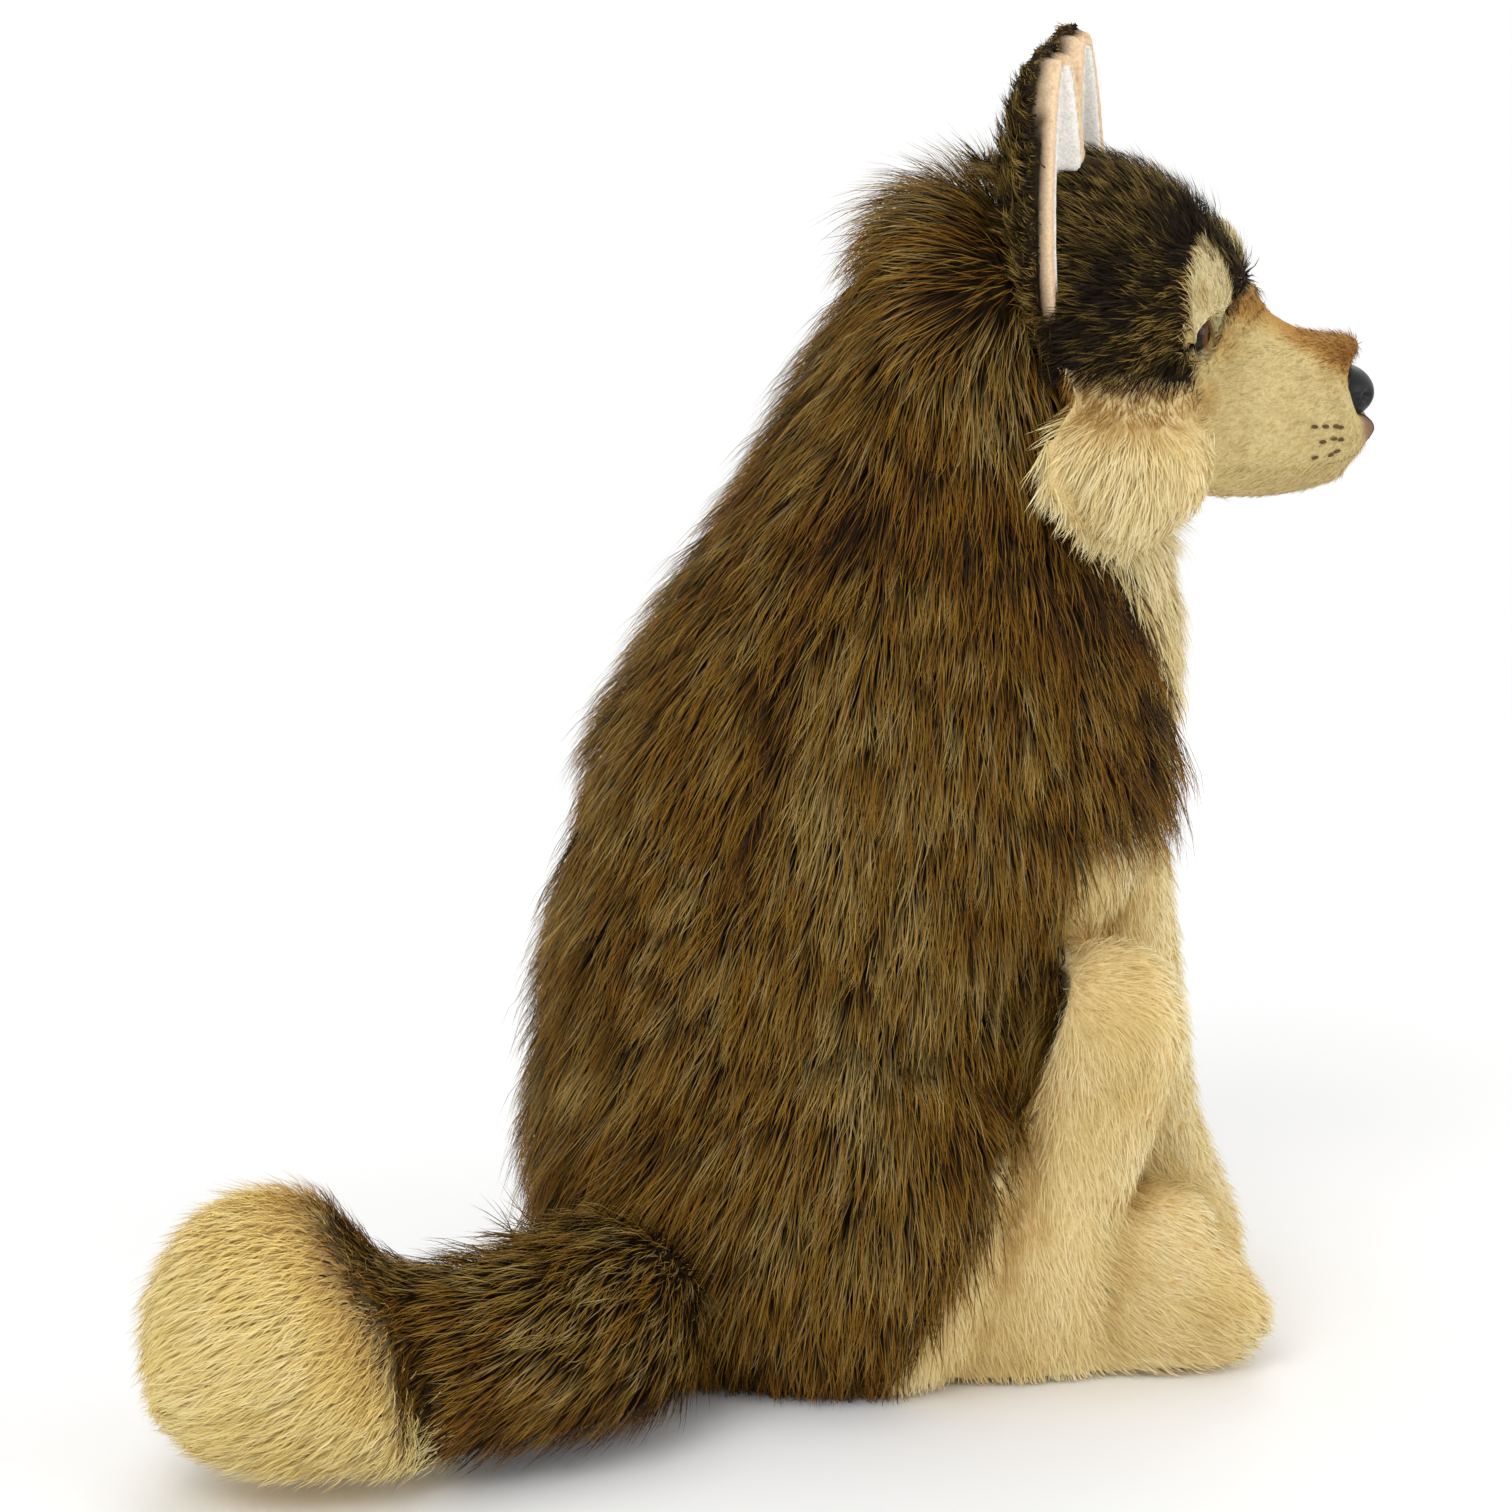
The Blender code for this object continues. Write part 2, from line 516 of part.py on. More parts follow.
# The body and what is sewn to it
SIDES = (("right", -1), ("left", 1))
body = add("body", body_form(0), MANTLE)
near_body = cutter("near_body", body_form(SEAM_GAP))
bib = add("chest_bib", bib_form(0), CREAM)
cut(bib, near_body)
near_bib = cutter("near_bib", bib_form(SEAM_GAP))
tail = add("tail", tail_form(0), MANTLE)
tail_tip = add("tail_tip", tail_tip_form(0), CREAM)
near_tail = cutter("near_tail", tail_form(SEAM_GAP))
cut(tail, near_body)
cut(tail_tip, near_tail)
for label, side in SIDES:
    haunch = add("haunch_" + label, haunch_form(side, 0), MANTLE)
    near_haunch = cutter("near_haunch_" + label, haunch_form(side, SEAM_GAP))
    cut(tail, near_haunch)
    foreleg = add("foreleg_" + label, foreleg_form(side, 0), CREAM)
    near_foreleg = cutter("near_foreleg_" + label, foreleg_form(side, SEAM_GAP))
    cut(foreleg, near_body, near_bib)
    hind_leg = add("hind_leg_" + label, hind_leg_form(side, 0), CREAM)
    near_hind_leg = cutter("near_hind_leg_" + label, hind_leg_form(side, SEAM_GAP))
    cut(hind_leg, near_body, near_foreleg)
    cut(haunch, near_body, near_hind_leg)
    foot = add("hind_foot_" + label, foot_form(side, 0), CREAM)
    cut(foot, near_hind_leg, near_foreleg)

# The head and what is sewn or fixed to it
head_turn = bpy.data.objects.new("head_turn", None)
head_turn.location = upright(0, HEAD_AHEAD, NAPE_HEIGHT - HEAD_BELOW_NAPE)
head_turn.rotation_euler = (0, 0, -math.radians(HEAD_TURN_DEG))
bpy.context.scene.collection.objects.link(head_turn)
head = add("head", head_form(0), MANTLE, head_turn)
near_head = cutter("near_head", head_form(SEAM_GAP), head_turn)
muzzle = add("muzzle", muzzle_form(0), SHORT_PILE, head_turn)
near_muzzle = cutter("near_muzzle", muzzle_form(SEAM_GAP), head_turn)
cut(head, near_body, near_bib)
cut(muzzle, near_head, near_bib)

facing = Matrix.Rotation(math.pi / 2, 4, "X")
nose_spot = Matrix.Translation(forward(0, NOSE_UP, MUZZLE_END + MUZZLE_DOME - NOSE_SINK)) @ facing
nose_shape = (NOSE_HALF, NOSE_RISE, NOSE_DEPTH, NOSE_STEM_RADIUS, NOSE_STEM_LENGTH)
add("nose", button_mesh(*nose_shape), MOULDED, head_turn, nose_spot)
nose_socket = cutter("nose_socket", socket_mesh(NOSE_HALF, NOSE_RISE, NOSE_STEM_LENGTH), head_turn, nose_spot)
cut(muzzle, nose_socket)
behind_seat = Matrix.Translation((0, 0, -WASHER_SET_BACK))
add("nose_washer", washer_mesh(NOSE_STEM_RADIUS), WASHER, head_turn, nose_spot @ behind_seat)
for label, side in SIDES:
    patch = add("eye_patch_" + label, patch_form(side, 0), CREAM, head_turn)
    cut(patch, near_head, near_muzzle)
    eye_at = Vector(forward(side * EYE_OUT, EYE_UP, PATCH_AHEAD + PATCH_DEPTH - EYE_SET_BACK))
    toe_out = Matrix.Rotation(math.radians(side * EYE_TOE_OUT_DEG), 4, "Z")
    eye_spot = Matrix.Translation(eye_at) @ toe_out @ facing
    eye_shape = (EYE_RADIUS, EYE_RADIUS, EYE_BULGE, EYE_STEM_RADIUS, EYE_STEM_LENGTH)
    add("eye_" + label, button_mesh(*eye_shape), GLASSY, head_turn, eye_spot)
    add("eye_washer_" + label, washer_mesh(EYE_STEM_RADIUS), WASHER, head_turn, eye_spot @ behind_seat)
    eye_pocket = socket_mesh(EYE_RADIUS, EYE_RADIUS, EYE_STEM_LENGTH)
    socket = cutter("eye_socket_" + label, eye_pocket, head_turn, eye_spot)
    cut(patch, socket)
    cut(head, socket)
    cut(muzzle, socket)
    cheek = add("cheek_ruff_" + label, cheek_form(side, 0), CREAM, head_turn)
    near_cheek = cutter("near_cheek_" + label, cheek_form(side, SEAM_GAP), head_turn)
    cut(cheek, near_head, near_body, near_muzzle, near_bib)
    ear = add("ear_" + label, ear_layer(side, False, 0), MANTLE, head_turn)
    lining = add("ear_lining_" + label, ear_layer(side, True, 0), LINING, head_turn)
    cut(ear, near_head, near_body, near_cheek)
    cut(lining, near_head, near_body, near_cheek)
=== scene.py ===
"""Looks of a plush wolf that sits up with its head turned to its own right.

Metres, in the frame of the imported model: +Z up, the wolf looks along -Y and its own right is -X. "Fore" is a
distance towards -Y. Each stuffed form gets a sewn hide, and the pile stands on that hide as tapered strands.
"""

import math

import bmesh
import bpy
import numpy as np
from mathutils import Matrix, Vector
from mathutils.bvhtree import BVHTree
from mathutils.kdtree import KDTree


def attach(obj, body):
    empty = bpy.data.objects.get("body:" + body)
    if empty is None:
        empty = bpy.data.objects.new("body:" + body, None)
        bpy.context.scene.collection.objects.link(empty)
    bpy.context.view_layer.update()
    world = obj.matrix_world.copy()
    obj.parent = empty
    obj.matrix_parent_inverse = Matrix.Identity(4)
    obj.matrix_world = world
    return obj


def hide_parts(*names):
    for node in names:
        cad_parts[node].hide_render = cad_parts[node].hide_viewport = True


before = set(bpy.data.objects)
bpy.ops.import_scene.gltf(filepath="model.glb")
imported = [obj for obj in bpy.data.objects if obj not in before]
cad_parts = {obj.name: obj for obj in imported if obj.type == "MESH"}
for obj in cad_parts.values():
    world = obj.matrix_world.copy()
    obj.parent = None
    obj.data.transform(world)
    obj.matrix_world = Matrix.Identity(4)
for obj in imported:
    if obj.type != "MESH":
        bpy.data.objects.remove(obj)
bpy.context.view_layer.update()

# Camera, floor and lights
# The wolf sits on a plain white sweep in soft daylight. The camera stands at its right side, a little behind
# it, and looks slightly down.
CAMERA_AZIMUTH, CAMERA_ELEVATION, CAMERA_DISTANCE = math.radians(264.0), math.radians(14.5), 1.6
PICTURE_WIDTH, SENSOR_WIDTH = 0.4536, 36.0
AIM_RIGHT, AIM_UP = -0.0342, 0.1704
FLOOR_SIZE, FLOOR_WHITE, SHADOW_REACH = 12.0, 0.96, 0.45
WORLD_LIGHT, FLOOR_ROUGHNESS, FLOOR_SHINE = 0.55, 0.9, 0.5
LAMP_AIM = (0.0, 0.0, 0.18)
LAMPS = (
    # name, place, size, watts
    ("window", (-1.6, 0.9, 2.0), 1.6, 24.0),
    ("fill", (-1.2, -2.0, 0.9), 1.8, 16.0),
    ("overhead", (0.3, 0.1, 2.4), 2.0, 14.0),
    ("far side", (2.0, -0.6, 1.4), 1.6, 10.0),
)

level_share = math.cos(CAMERA_ELEVATION)
back = Vector((
    math.sin(CAMERA_AZIMUTH) * level_share, -math.cos(CAMERA_AZIMUTH) * level_share, math.sin(CAMERA_ELEVATION),
))
rightward = Vector((math.cos(CAMERA_AZIMUTH), math.sin(CAMERA_AZIMUTH), 0.0))
upward = back.cross(rightward)
camera = bpy.data.objects.new("camera", bpy.data.cameras.new("camera"))
camera.location = rightward * AIM_RIGHT + upward * AIM_UP + back * CAMERA_DISTANCE
camera.rotation_euler = Matrix((rightward, upward, back)).transposed().to_euler()
camera.data.sensor_width = SENSOR_WIDTH
camera.data.lens = SENSOR_WIDTH * CAMERA_DISTANCE / PICTURE_WIDTH
camera.data.dof.use_dof = False
bpy.context.scene.collection.objects.link(camera)
bpy.context.scene.camera = camera
bpy.context.scene.view_settings.view_transform = "Standard"

for lamp_name, lamp_place, size, watts in LAMPS:
    lamp = bpy.data.objects.new(lamp_name, bpy.data.lights.new(lamp_name, "AREA"))
    lamp.data.shape = "DISK"
    lamp.data.size = size
    lamp.data.energy = watts
    lamp.location = lamp_place
    lamp.rotation_euler = (Vector(lamp_place) - Vector(LAMP_AIM)).to_track_quat("Z", "Y").to_euler()
    bpy.context.scene.collection.objects.link(lamp)


class Wire:
    """An output of a node. Arithmetic on it adds Math nodes, or Vector Math nodes where it carries a vector."""

    def __init__(self, tree, socket=None):
        self.tree, self.socket = tree, socket

    def node(self, kind, settings=None, inputs=None, output=None):
        """A new node: its settings are set first, then its inputs by name or number, as values or as wires."""
        made = self.tree.nodes.new(kind)
        for name, value in (settings or {}).items():
            if name == "stops":
                for position, colour in value[1:-1]:
                    made.color_ramp.elements.new(position)
                for element, (position, colour) in zip(made.color_ramp.elements, value):
                    element.position, element.color = position, (*colour, 1)
            else:
                setattr(made, name, value)
        for key, value in (inputs or {}).items():
            socket = made.inputs[key] if isinstance(key, int) else next(
                s for s in made.inputs if s.name == key and s.enabled
            )
            if isinstance(value, Wire):
                self.tree.links.new(value.socket, socket)
            else:
                socket.default_value = value
        if output is None:
            found = next(s for s in made.outputs if s.enabled)
        else:
            found = next(s for s in made.outputs if s.name == output and s.enabled)
        return Wire(self.tree, found)

    def sibling(self, output):
        """Another output of the same node."""
        return Wire(self.tree, next(s for s in self.socket.node.outputs if s.name == output and s.enabled))

    def into(self, receiver, label):
        """Joins this wire to a node that is already there."""
        self.tree.links.new(self.socket, receiver.inputs[label])

    def of(self, operation, *others):
        """A Math node, or a Vector Math node where this wire carries a vector."""
        kind = "ShaderNodeVectorMath" if self.socket.type == "VECTOR" else "ShaderNodeMath"
        return self.node(kind, {"operation": operation}, dict(enumerate((self, *others))))

    def scaled(self, amount):
        return self.node("ShaderNodeVectorMath", {"operation": "SCALE"}, {0: self, "Scale": amount})

    def __add__(self, other):
        return self.of("ADD", other)

    def __sub__(self, other):
        return self.of("SUBTRACT", other)

    def __mul__(self, other):
        return self.of("MULTIPLY", other)

    def __rsub__(self, other):
        return self.node("ShaderNodeMath", {"operation": "SUBTRACT"}, {0: other, 1: self})


def new_finish(name, roughness, shine):
    """A new material, its shader, and a wire to start its other nodes from."""
    made = bpy.data.materials.new(name)
    made.use_nodes = True
    shader = made.node_tree.nodes["Principled BSDF"]
    shader.inputs["Roughness"].default_value = roughness
    shader.inputs["Specular IOR Level"].default_value = shine
    return made, shader, Wire(made.node_tree)


def seen_directly(start):
    """1 for what the camera sees, also in a mirror or through glass, and 0 for light on the object."""
    rays = start.node("ShaderNodeLightPath", output="Is Camera Ray")
    return rays.of("MAXIMUM", rays.sibling("Is Glossy Ray")).of("MAXIMUM", rays.sibling("Is Transmission Ray"))


bpy.ops.mesh.primitive_plane_add(size=FLOOR_SIZE)
floor = bpy.context.object
floor.name = "floor"
floor_finish, floor_shader, sweep = new_finish("white sweep", FLOOR_ROUGHNESS, FLOOR_SHINE)
floor_shader.inputs["Base Color"].default_value = (FLOOR_WHITE, FLOOR_WHITE, FLOOR_WHITE, 1)
from_wolf = sweep.node("ShaderNodeTexCoord", output="Object").of("LENGTH")
beyond = sweep.node("ShaderNodeMapRange", {"interpolation_type": "SMOOTHSTEP"}, {
    "Value": from_wolf, "From Min": SHADOW_REACH, "From Max": SHADOW_REACH * 2.0})
glow = sweep.node("ShaderNodeEmission", inputs={"Strength": 1.0})
blend = sweep.node("ShaderNodeMixShader", inputs={0: seen_directly(sweep) * beyond})
Wire(sweep.tree, floor_shader.outputs["BSDF"]).into(blend.socket.node, 1)
glow.into(blend.socket.node, 2)
blend.into(sweep.tree.nodes["Material Output"], "Surface")
floor.data.materials.append(floor_finish)

world = bpy.data.worlds.new("daylight")
bpy.context.scene.world = world
world.use_nodes = True
background = world.node_tree.nodes["Background"]
brightness = seen_directly(Wire(world.node_tree)) * (1.0 - WORLD_LIGHT) + WORLD_LIGHT
brightness.into(background, "Strength")
background.inputs["Color"].default_value = (1, 1, 1, 1)

# Body hide
# The body, thighs and legs are cut from plush fabric and sewn into one stuffed skin, and the long and the short
# pile below stand on it. The hide lies under the outline of the pile, by the height of the pile at each place.
BODY_NODES = (
    "body", "haunch_right", "haunch_left", "chest_bib", "foreleg_right", "foreleg_left",
    "hind_leg_right", "hind_leg_left", "hind_foot_right", "hind_foot_left",
)
BODY_VOXEL, BODY_EASE, DENT_ROUNDS, FLOOR_GAP = 0.0026, 3, 40, 0.0015
# The border of the dark mantle: how far fore it comes on the flank and on the throat at each height, and half
# the width of the pale strip that it leaves on the chest
FLANK_HEIGHTS = (0.000, 0.016, 0.052, 0.076, 0.106, 0.132, 0.150, 0.172)
FLANK_FORES = (-0.004, 0.003, 0.021, 0.033, 0.040, 0.047, 0.052, 0.058)
THROAT_HEIGHTS, THROAT_FORES = (0.225, 0.249, 0.262, 0.275), (0.036, 0.056, 0.080, 0.110)
STRIP_HEIGHTS = (0.172, 0.190, 0.205, 0.220, 0.235, 0.252)
STRIP_HALVES = (0.003, 0.011, 0.020, 0.028, 0.035, 0.042)
FLAP_HEIGHT, BORDER_BLUR = 0.167, 0.0025
MANTLE_LENGTH, MANTLE_SINK = 0.0200, 0.0070
STRIP_LENGTH, STRIP_SINK = 0.0120, 0.0050
LEG_LENGTH, LEG_SINK = 0.0072, 0.0022
MANTLE_SKIN, CREAM_SKIN = (0.024, 0.013, 0.004), (0.780, 0.600, 0.290)
# The pairs named ABOVE, BELOW, FORE, FACES and the like give where a soft mask is 0 and where it is 1
CHEST_ABOVE = (0.150, 0.165)
SOLE_FACES, SOLE_BELOW = (-0.75, -0.90), (0.016, 0.010)
SHIN_FACES, SHIN_ABOVE, SHIN_FORE, SHIN_FILL = (0.3, 0.9), (0.040, 0.065), (0.055, 0.070), 0.0034
# Tones of the cream pile: darker in dents as painted shade, paler on crests as a painted highlight, paler on
# shins, and golden on the sides of knees and toes
CREAM_MIDDLE, DENT_SHADE_TONE, CREST_HIGHLIGHT_TONE, SHIN_TONE, GOLD_TONE = 0.60, -0.38, 0.22, 0.22, -0.34
DENT_SHADE_DEPTHS, CREST_HIGHLIGHT_DEPTHS = (0.0002, 0.0024), (-0.0004, -0.0022)
GOLD_OUT = (0.040, 0.055)
GOLD_SPOTS = (
    # middle and reach, both as fore and height, and strength
    ((0.060, 0.100), (0.018, 0.028), 1.0),
    ((0.090, 0.022), (0.013, 0.011), 0.8),
)
TINT_DARKEST, TINT_RANGE, TINT_LIMIT = 0.55, 0.72, 0.92
GRAIN_DARKEST, GRAIN_RANGE = 0.65, 0.7


def read(mesh, field):
    """Where each point of a mesh is ("co") or which way it faces ("normal")."""
    flat = np.empty(len(mesh.vertices) * 3, np.float32)
    mesh.vertices.foreach_get(field, flat)
    return flat.reshape(-1, 3).astype(float)


def place(mesh, points):
    mesh.vertices.foreach_set("co", np.ascontiguousarray(points, np.float32).ravel())
    mesh.update()


def store(mesh, name, values):
    """Keeps one number, vector or colour at each point of a mesh."""
    values = np.asarray(values, np.float32)
    kind, field = {1: ("FLOAT", "value"), 3: ("FLOAT_VECTOR", "vector"), 4: ("FLOAT_COLOR", "color")}[
        1 if values.ndim == 1 else values.shape[1]
    ]
    mesh.attributes.new(name, kind, "POINT").data.foreach_set(field, np.ascontiguousarray(values).ravel())


def paint(hide, colours):
    """Keeps the colour of the backing at each point of a hide."""
    store(hide.data, "tint", np.c_[colours, np.ones(len(colours))])


def ramp(value, start, end):
    """0 at start, 1 at end, and smooth between. Start may be above end."""
    share = np.clip((value - start) / (end - start), 0, 1)
    return share * share * (3 - 2 * share)


def soft_spot(values, middle, reach, power=1):
    """1 in the middle of a spot and 0 well outside it. A power of 2 gives it a flat top and a steeper edge."""
    distance = sum(((value - m) / r) ** 2 for value, m, r in zip(values, middle, reach))
    return np.exp(-distance ** power)


def mix(first, second, share):
    """First where share is 0, second where it is 1. Works on numbers and on rows of colours or vectors."""
    first, second, share = np.asarray(first, float), np.asarray(second, float), np.asarray(share, float)
    if max(first.ndim, second.ndim) > 1 or (first.ndim == 1 and len(first) == 3 and len(share) != 3):
        share = share[:, None]
    return first + (second - first) * share


def unit(vectors):
    return vectors / np.maximum(np.linalg.norm(vectors, axis=1), 1e-9)[:, None]


def along_surface(guide, facing):
    """The guide's directions, laid flat on a surface that faces this way."""
    return unit(guide - facing * np.sum(guide * facing, axis=1)[:, None])


def linked(name, mesh):
    made = bpy.data.objects.new(name, mesh)
    bpy.context.scene.collection.objects.link(made)
    return made


def made_plain(piece):
    """Turns a piece's modifiers into plain mesh."""
    graph = bpy.context.evaluated_depsgraph_get()
    mesh = bpy.data.meshes.new_from_object(piece.evaluated_get(graph), depsgraph=graph)
    piece.modifiers.clear()
    piece.data = mesh
    mesh.name = piece.name


def made_from(name, work):
    """A new object with this mesh, which is freed."""
    mesh = bpy.data.meshes.new(name)
    work.to_mesh(mesh)
    work.free()
    return linked(name, mesh)


def joined(nodes):
    """These CAD nodes together, as a mesh to work on."""
    work = bmesh.new()
    for node in nodes:
        work.from_mesh(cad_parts[node].data)
    return work


def hide_over(name, nodes, voxel, ease):
    """One closed skin over these stuffed forms, with the dents between them eased."""
    work = joined(nodes)
    bmesh.ops.remove_doubles(work, verts=work.verts, dist=1e-5)
    hide = made_from(name, work)
    sewn = hide.modifiers.new("sewn", "REMESH")
    sewn.mode = "VOXEL"
    sewn.voxel_size = voxel
    eased = hide.modifiers.new("eased", "SMOOTH")
    eased.iterations = ease
    made_plain(hide)
    hide.data.shade_smooth()
    return hide


def hollows(mesh, points, facing, rounds):
    """How far each point lies under the surface eased this many times: above 0 in dents, below 0 on crests."""
    pairs = np.empty(len(mesh.edges) * 2, np.int32)
    mesh.edges.foreach_get("vertices", pairs)
    near, far = pairs[::2], pairs[1::2]
    count = len(points)
    degree = np.bincount(near, minlength=count) + np.bincount(far, minlength=count)
    eased = points.copy()
    for _ in range(rounds):
        eased = np.array([
            np.bincount(near, eased[far, axis], count) + np.bincount(far, eased[near, axis], count)
            for axis in range(3)
        ]).T / degree[:, None]
    return np.sum((eased - points) * facing, axis=1)


body_hide = hide_over("body_hide", BODY_NODES, BODY_VOXEL, BODY_EASE)
spots, facing = read(body_hide.data, "co"), read(body_hide.data, "normal")
dents = hollows(body_hide.data, spots, facing, DENT_ROUNDS)
x, fore, z = spots[:, 0], -spots[:, 1], spots[:, 2]
flank_border = np.interp(z, FLANK_HEIGHTS, FLANK_FORES)
throat_border = np.interp(z, THROAT_HEIGHTS, THROAT_FORES)
strip_half = np.interp(z, STRIP_HEIGHTS, STRIP_HALVES)
behind_border = ramp(fore - flank_border, BORDER_BLUR, -BORDER_BLUR)
beside_strip = ramp(np.abs(x) - strip_half, -BORDER_BLUR, BORDER_BLUR)
beside_strip = np.maximum(beside_strip, ramp(fore - throat_border, BORDER_BLUR, -BORDER_BLUR))
above_flap = ramp(z, FLAP_HEIGHT - BORDER_BLUR, FLAP_HEIGHT + BORDER_BLUR)
mantle_share = mix(behind_border, beside_strip, above_flap)
chest_share = (1 - mantle_share) * ramp(z, *CHEST_ABOVE)
leg_share = (1 - mantle_share) * (1 - chest_share)
sole = ramp(facing[:, 2], *SOLE_FACES) * ramp(z, *SOLE_BELOW)
shin = leg_share * ramp(-facing[:, 1], *SHIN_FACES) * ramp(z, *SHIN_ABOVE) * ramp(fore, *SHIN_FORE)
sunk = mix(mix(LEG_SINK, STRIP_SINK, chest_share), MANTLE_SINK, mantle_share)
spots = spots - facing * (sunk - SHIN_FILL * shin)[:, None]
spots[:, 2] = np.maximum(spots[:, 2], FLOOR_GAP)
place(body_hide.data, spots)
# The cream tone darkens dents with painted shade and lightens crests with a painted highlight, both on the
# hide's tint and on its pile
cream_tone_and_painted_light = CREAM_MIDDLE + DENT_SHADE_TONE * ramp(dents, *DENT_SHADE_DEPTHS) + CREST_HIGHLIGHT_TONE * ramp(dents, *CREST_HIGHLIGHT_DEPTHS)
golden = sum(strength * soft_spot((fore, z), middle, reach) for middle, reach, strength in GOLD_SPOTS)
cream_tone_and_painted_light = cream_tone_and_painted_light + GOLD_TONE * golden * ramp(np.abs(x), *GOLD_OUT) + SHIN_TONE * shin
tint = np.array(CREAM_SKIN) * (TINT_DARKEST + TINT_RANGE * cream_tone_and_painted_light)[:, None]
paint(body_hide, mix(np.minimum(tint, TINT_LIMIT), np.array(MANTLE_SKIN), mantle_share))


def grained(start, shader, scale, detail, strength, depth):
    """A fine noise, which also roughens the surface."""
    where = start.node("ShaderNodeTexCoord", output="Object")
    noise = {"Vector": where, "Scale": scale, "Detail": detail}
    fleck = start.node("ShaderNodeTexNoise", inputs=noise, output="Fac")
    bump = start.node("ShaderNodeBump", inputs={"Height": fleck, "Strength": strength, "Distance": depth})
    bump.into(shader, "Normal")
    return fleck


def hide_finish(name, grain, roughness):
    """Woven pile backing: the tint kept on the hide, broken up by the grain of the pile that stands on it."""
    made, shader, start = new_finish(name, roughness, shine=0.1)
    shade = grained(start, shader, grain, detail=3.0, strength=0.5, depth=0.0006) * GRAIN_RANGE + GRAIN_DARKEST
    grey = start.node("ShaderNodeCombineColor", inputs={0: shade, 1: shade, 2: shade})
    tint_here = start.node("ShaderNodeAttribute", {"attribute_name": "tint"}, output="Color")
    mixer, mixed = {"data_type": "RGBA", "blend_type": "MULTIPLY"}, {"Factor": 1.0, "A": tint_here, "B": grey}
    start.node("ShaderNodeMix", mixer, mixed).into(shader, "Base Color")
    return made


body_hide.data.materials.append(hide_finish("body backing", grain=900.0, roughness=0.9))
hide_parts(*BODY_NODES)
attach(body_hide, "root")

# Mantle
# Long dark acrylic pile, tan at the tips, over the neck, back, flanks and thighs. Its strands stand in locks
# that lean down and back, and its lower edge hangs over the forelegs in tufts.
STRAND_ROWS = ((0.0, 1.0), (0.34, 0.85), (0.68, 0.55))
SHORT_ROWS = ((0.0, 1.0), (0.5, 0.7))
# How strands differ in every pile: the length that each has and the part that varies, how far a blade turns
# about its own line, how much coarser a tuft is than a lock, how it pulls, and how much a lock stands up
LENGTH_SURE, LENGTH_VARIES, BLADE_TURN = 0.70, 0.45, 1.3
TUFT_FINENESS, TUFT_PULL, STAND_VARIES = 0.42, 0.35, 1.4
ROOT_SINK, ROOT_COVERED, STRAND_FLOOR = 0.0004, 0.15, 0.0005
LEAST_TONE, MOST_TONE, EDGE_TONE, SECOND_SEED = 0.02, 0.98, 0.015, 7.0
PILE_KEYS = (
    "Per square metre", "Half width", "Lift", "Scatter", "Lock size", "Lock pull", "Lock variety", "Lock tone",
    "Curl", "Droop", "Tone spread", "Patch size", "Patch tone",
)
MANTLE_PILE = (590000.0, 0.00021, 0.36, 0.16, 0.0070, 0.60, 0.30, 0.40, 0.28, 0.06, 0.55, 0.022, 0.75)
MANTLE_TONES = (
    (0.00, (0.012, 0.006, 0.002)),
    (0.20, (0.060, 0.026, 0.004)),
    (0.40, (0.230, 0.088, 0.006)),
    (0.58, (0.280, 0.145, 0.014)),
    (0.76, (0.310, 0.185, 0.034)),
    (0.90, (0.320, 0.220, 0.090)),
    (1.00, (0.500, 0.340, 0.100)),
)
MANTLE_ROOT = (0.013, 0.007, 0.002)
# Which way it lies: how far it leans back along the body and at the neck, and its direction at three places
LEAN_FORES, LEANS = (-0.100, -0.040, 0.010, 0.050, 0.085), (0.40, 0.30, 0.12, -0.10, -0.50)
LEAN_ABOVE, NECK_LEAN = (0.02, 0.09), 0.75
NECK_ABOVE, NECK_BEHIND, NAPE_ABOVE = (0.235, 0.290), (0.005, -0.030), (0.298, 0.334)
NAPE_LIE, BY_TAIL_LIE, BY_KNEE_LIE = (0.0, 1.0, 0.12), (-0.45, 1.0, -0.75), (-0.20, -0.45, -0.80)
BY_TAIL_AT, BY_TAIL_REACH, BY_TAIL_SIDE = (-0.055, -0.085, 0.055), (0.040, 0.045, 0.045), (0.005, -0.020)
BY_KNEE_AT, BY_KNEE_REACH, BY_KNEE_SHARE = -0.012, 0.012, 0.5
BY_KNEE_BELOW, BY_KNEE_ABOVE = (0.150, 0.120), (0.050, 0.080)
# How long it is: shorter at the hem and in front, longer over the forelegs and beside the tail
HEM_SHORTER, HEM_BELOW, FRONT_SHORTER, FRONT_FORE = 0.3, (0.05, 0.0), 0.2, (0.05, 0.08)
FLAP_LONGER, FLAP_BELOW, FLAP_ABOVE, FLAP_FORE = 0.35, (0.205, 0.180), (0.155, 0.170), (0.045, 0.065)
BY_TAIL_LONGER = 0.80
# How its tone differs from the middle one in the seam round the neck, in the fold below that seam, on the
# flank, by the knee, beside the chest, low down, at the hem and under the cheek
MANTLE_TONE, SEAM_TONE, FOLD_SHARE, FLANK_TONE, BY_KNEE_TONE = 0.62, -0.42, 0.75, 0.14, -0.14
CHEST_SIDE_TONE, LOW_TONE, HEM_TONE, UNDER_CHEEK_TONE = -0.20, -0.08, -0.22, -0.20
SEAM_HEIGHT, SEAM_REACH, SEAM_FORE, SEAM_BEHIND = 0.262, 0.010, (-0.030, -0.015), (0.040, 0.028)
FOLD_AT, FOLD_SLOPE, FOLD_REACH, FOLD_ABOVE, FOLD_BELOW = -0.020, 0.22, 0.006, (0.140, 0.165), (0.268, 0.255)
FLANK_AT, FLANK_REACH = (0.005, 0.115), (0.040, 0.080)
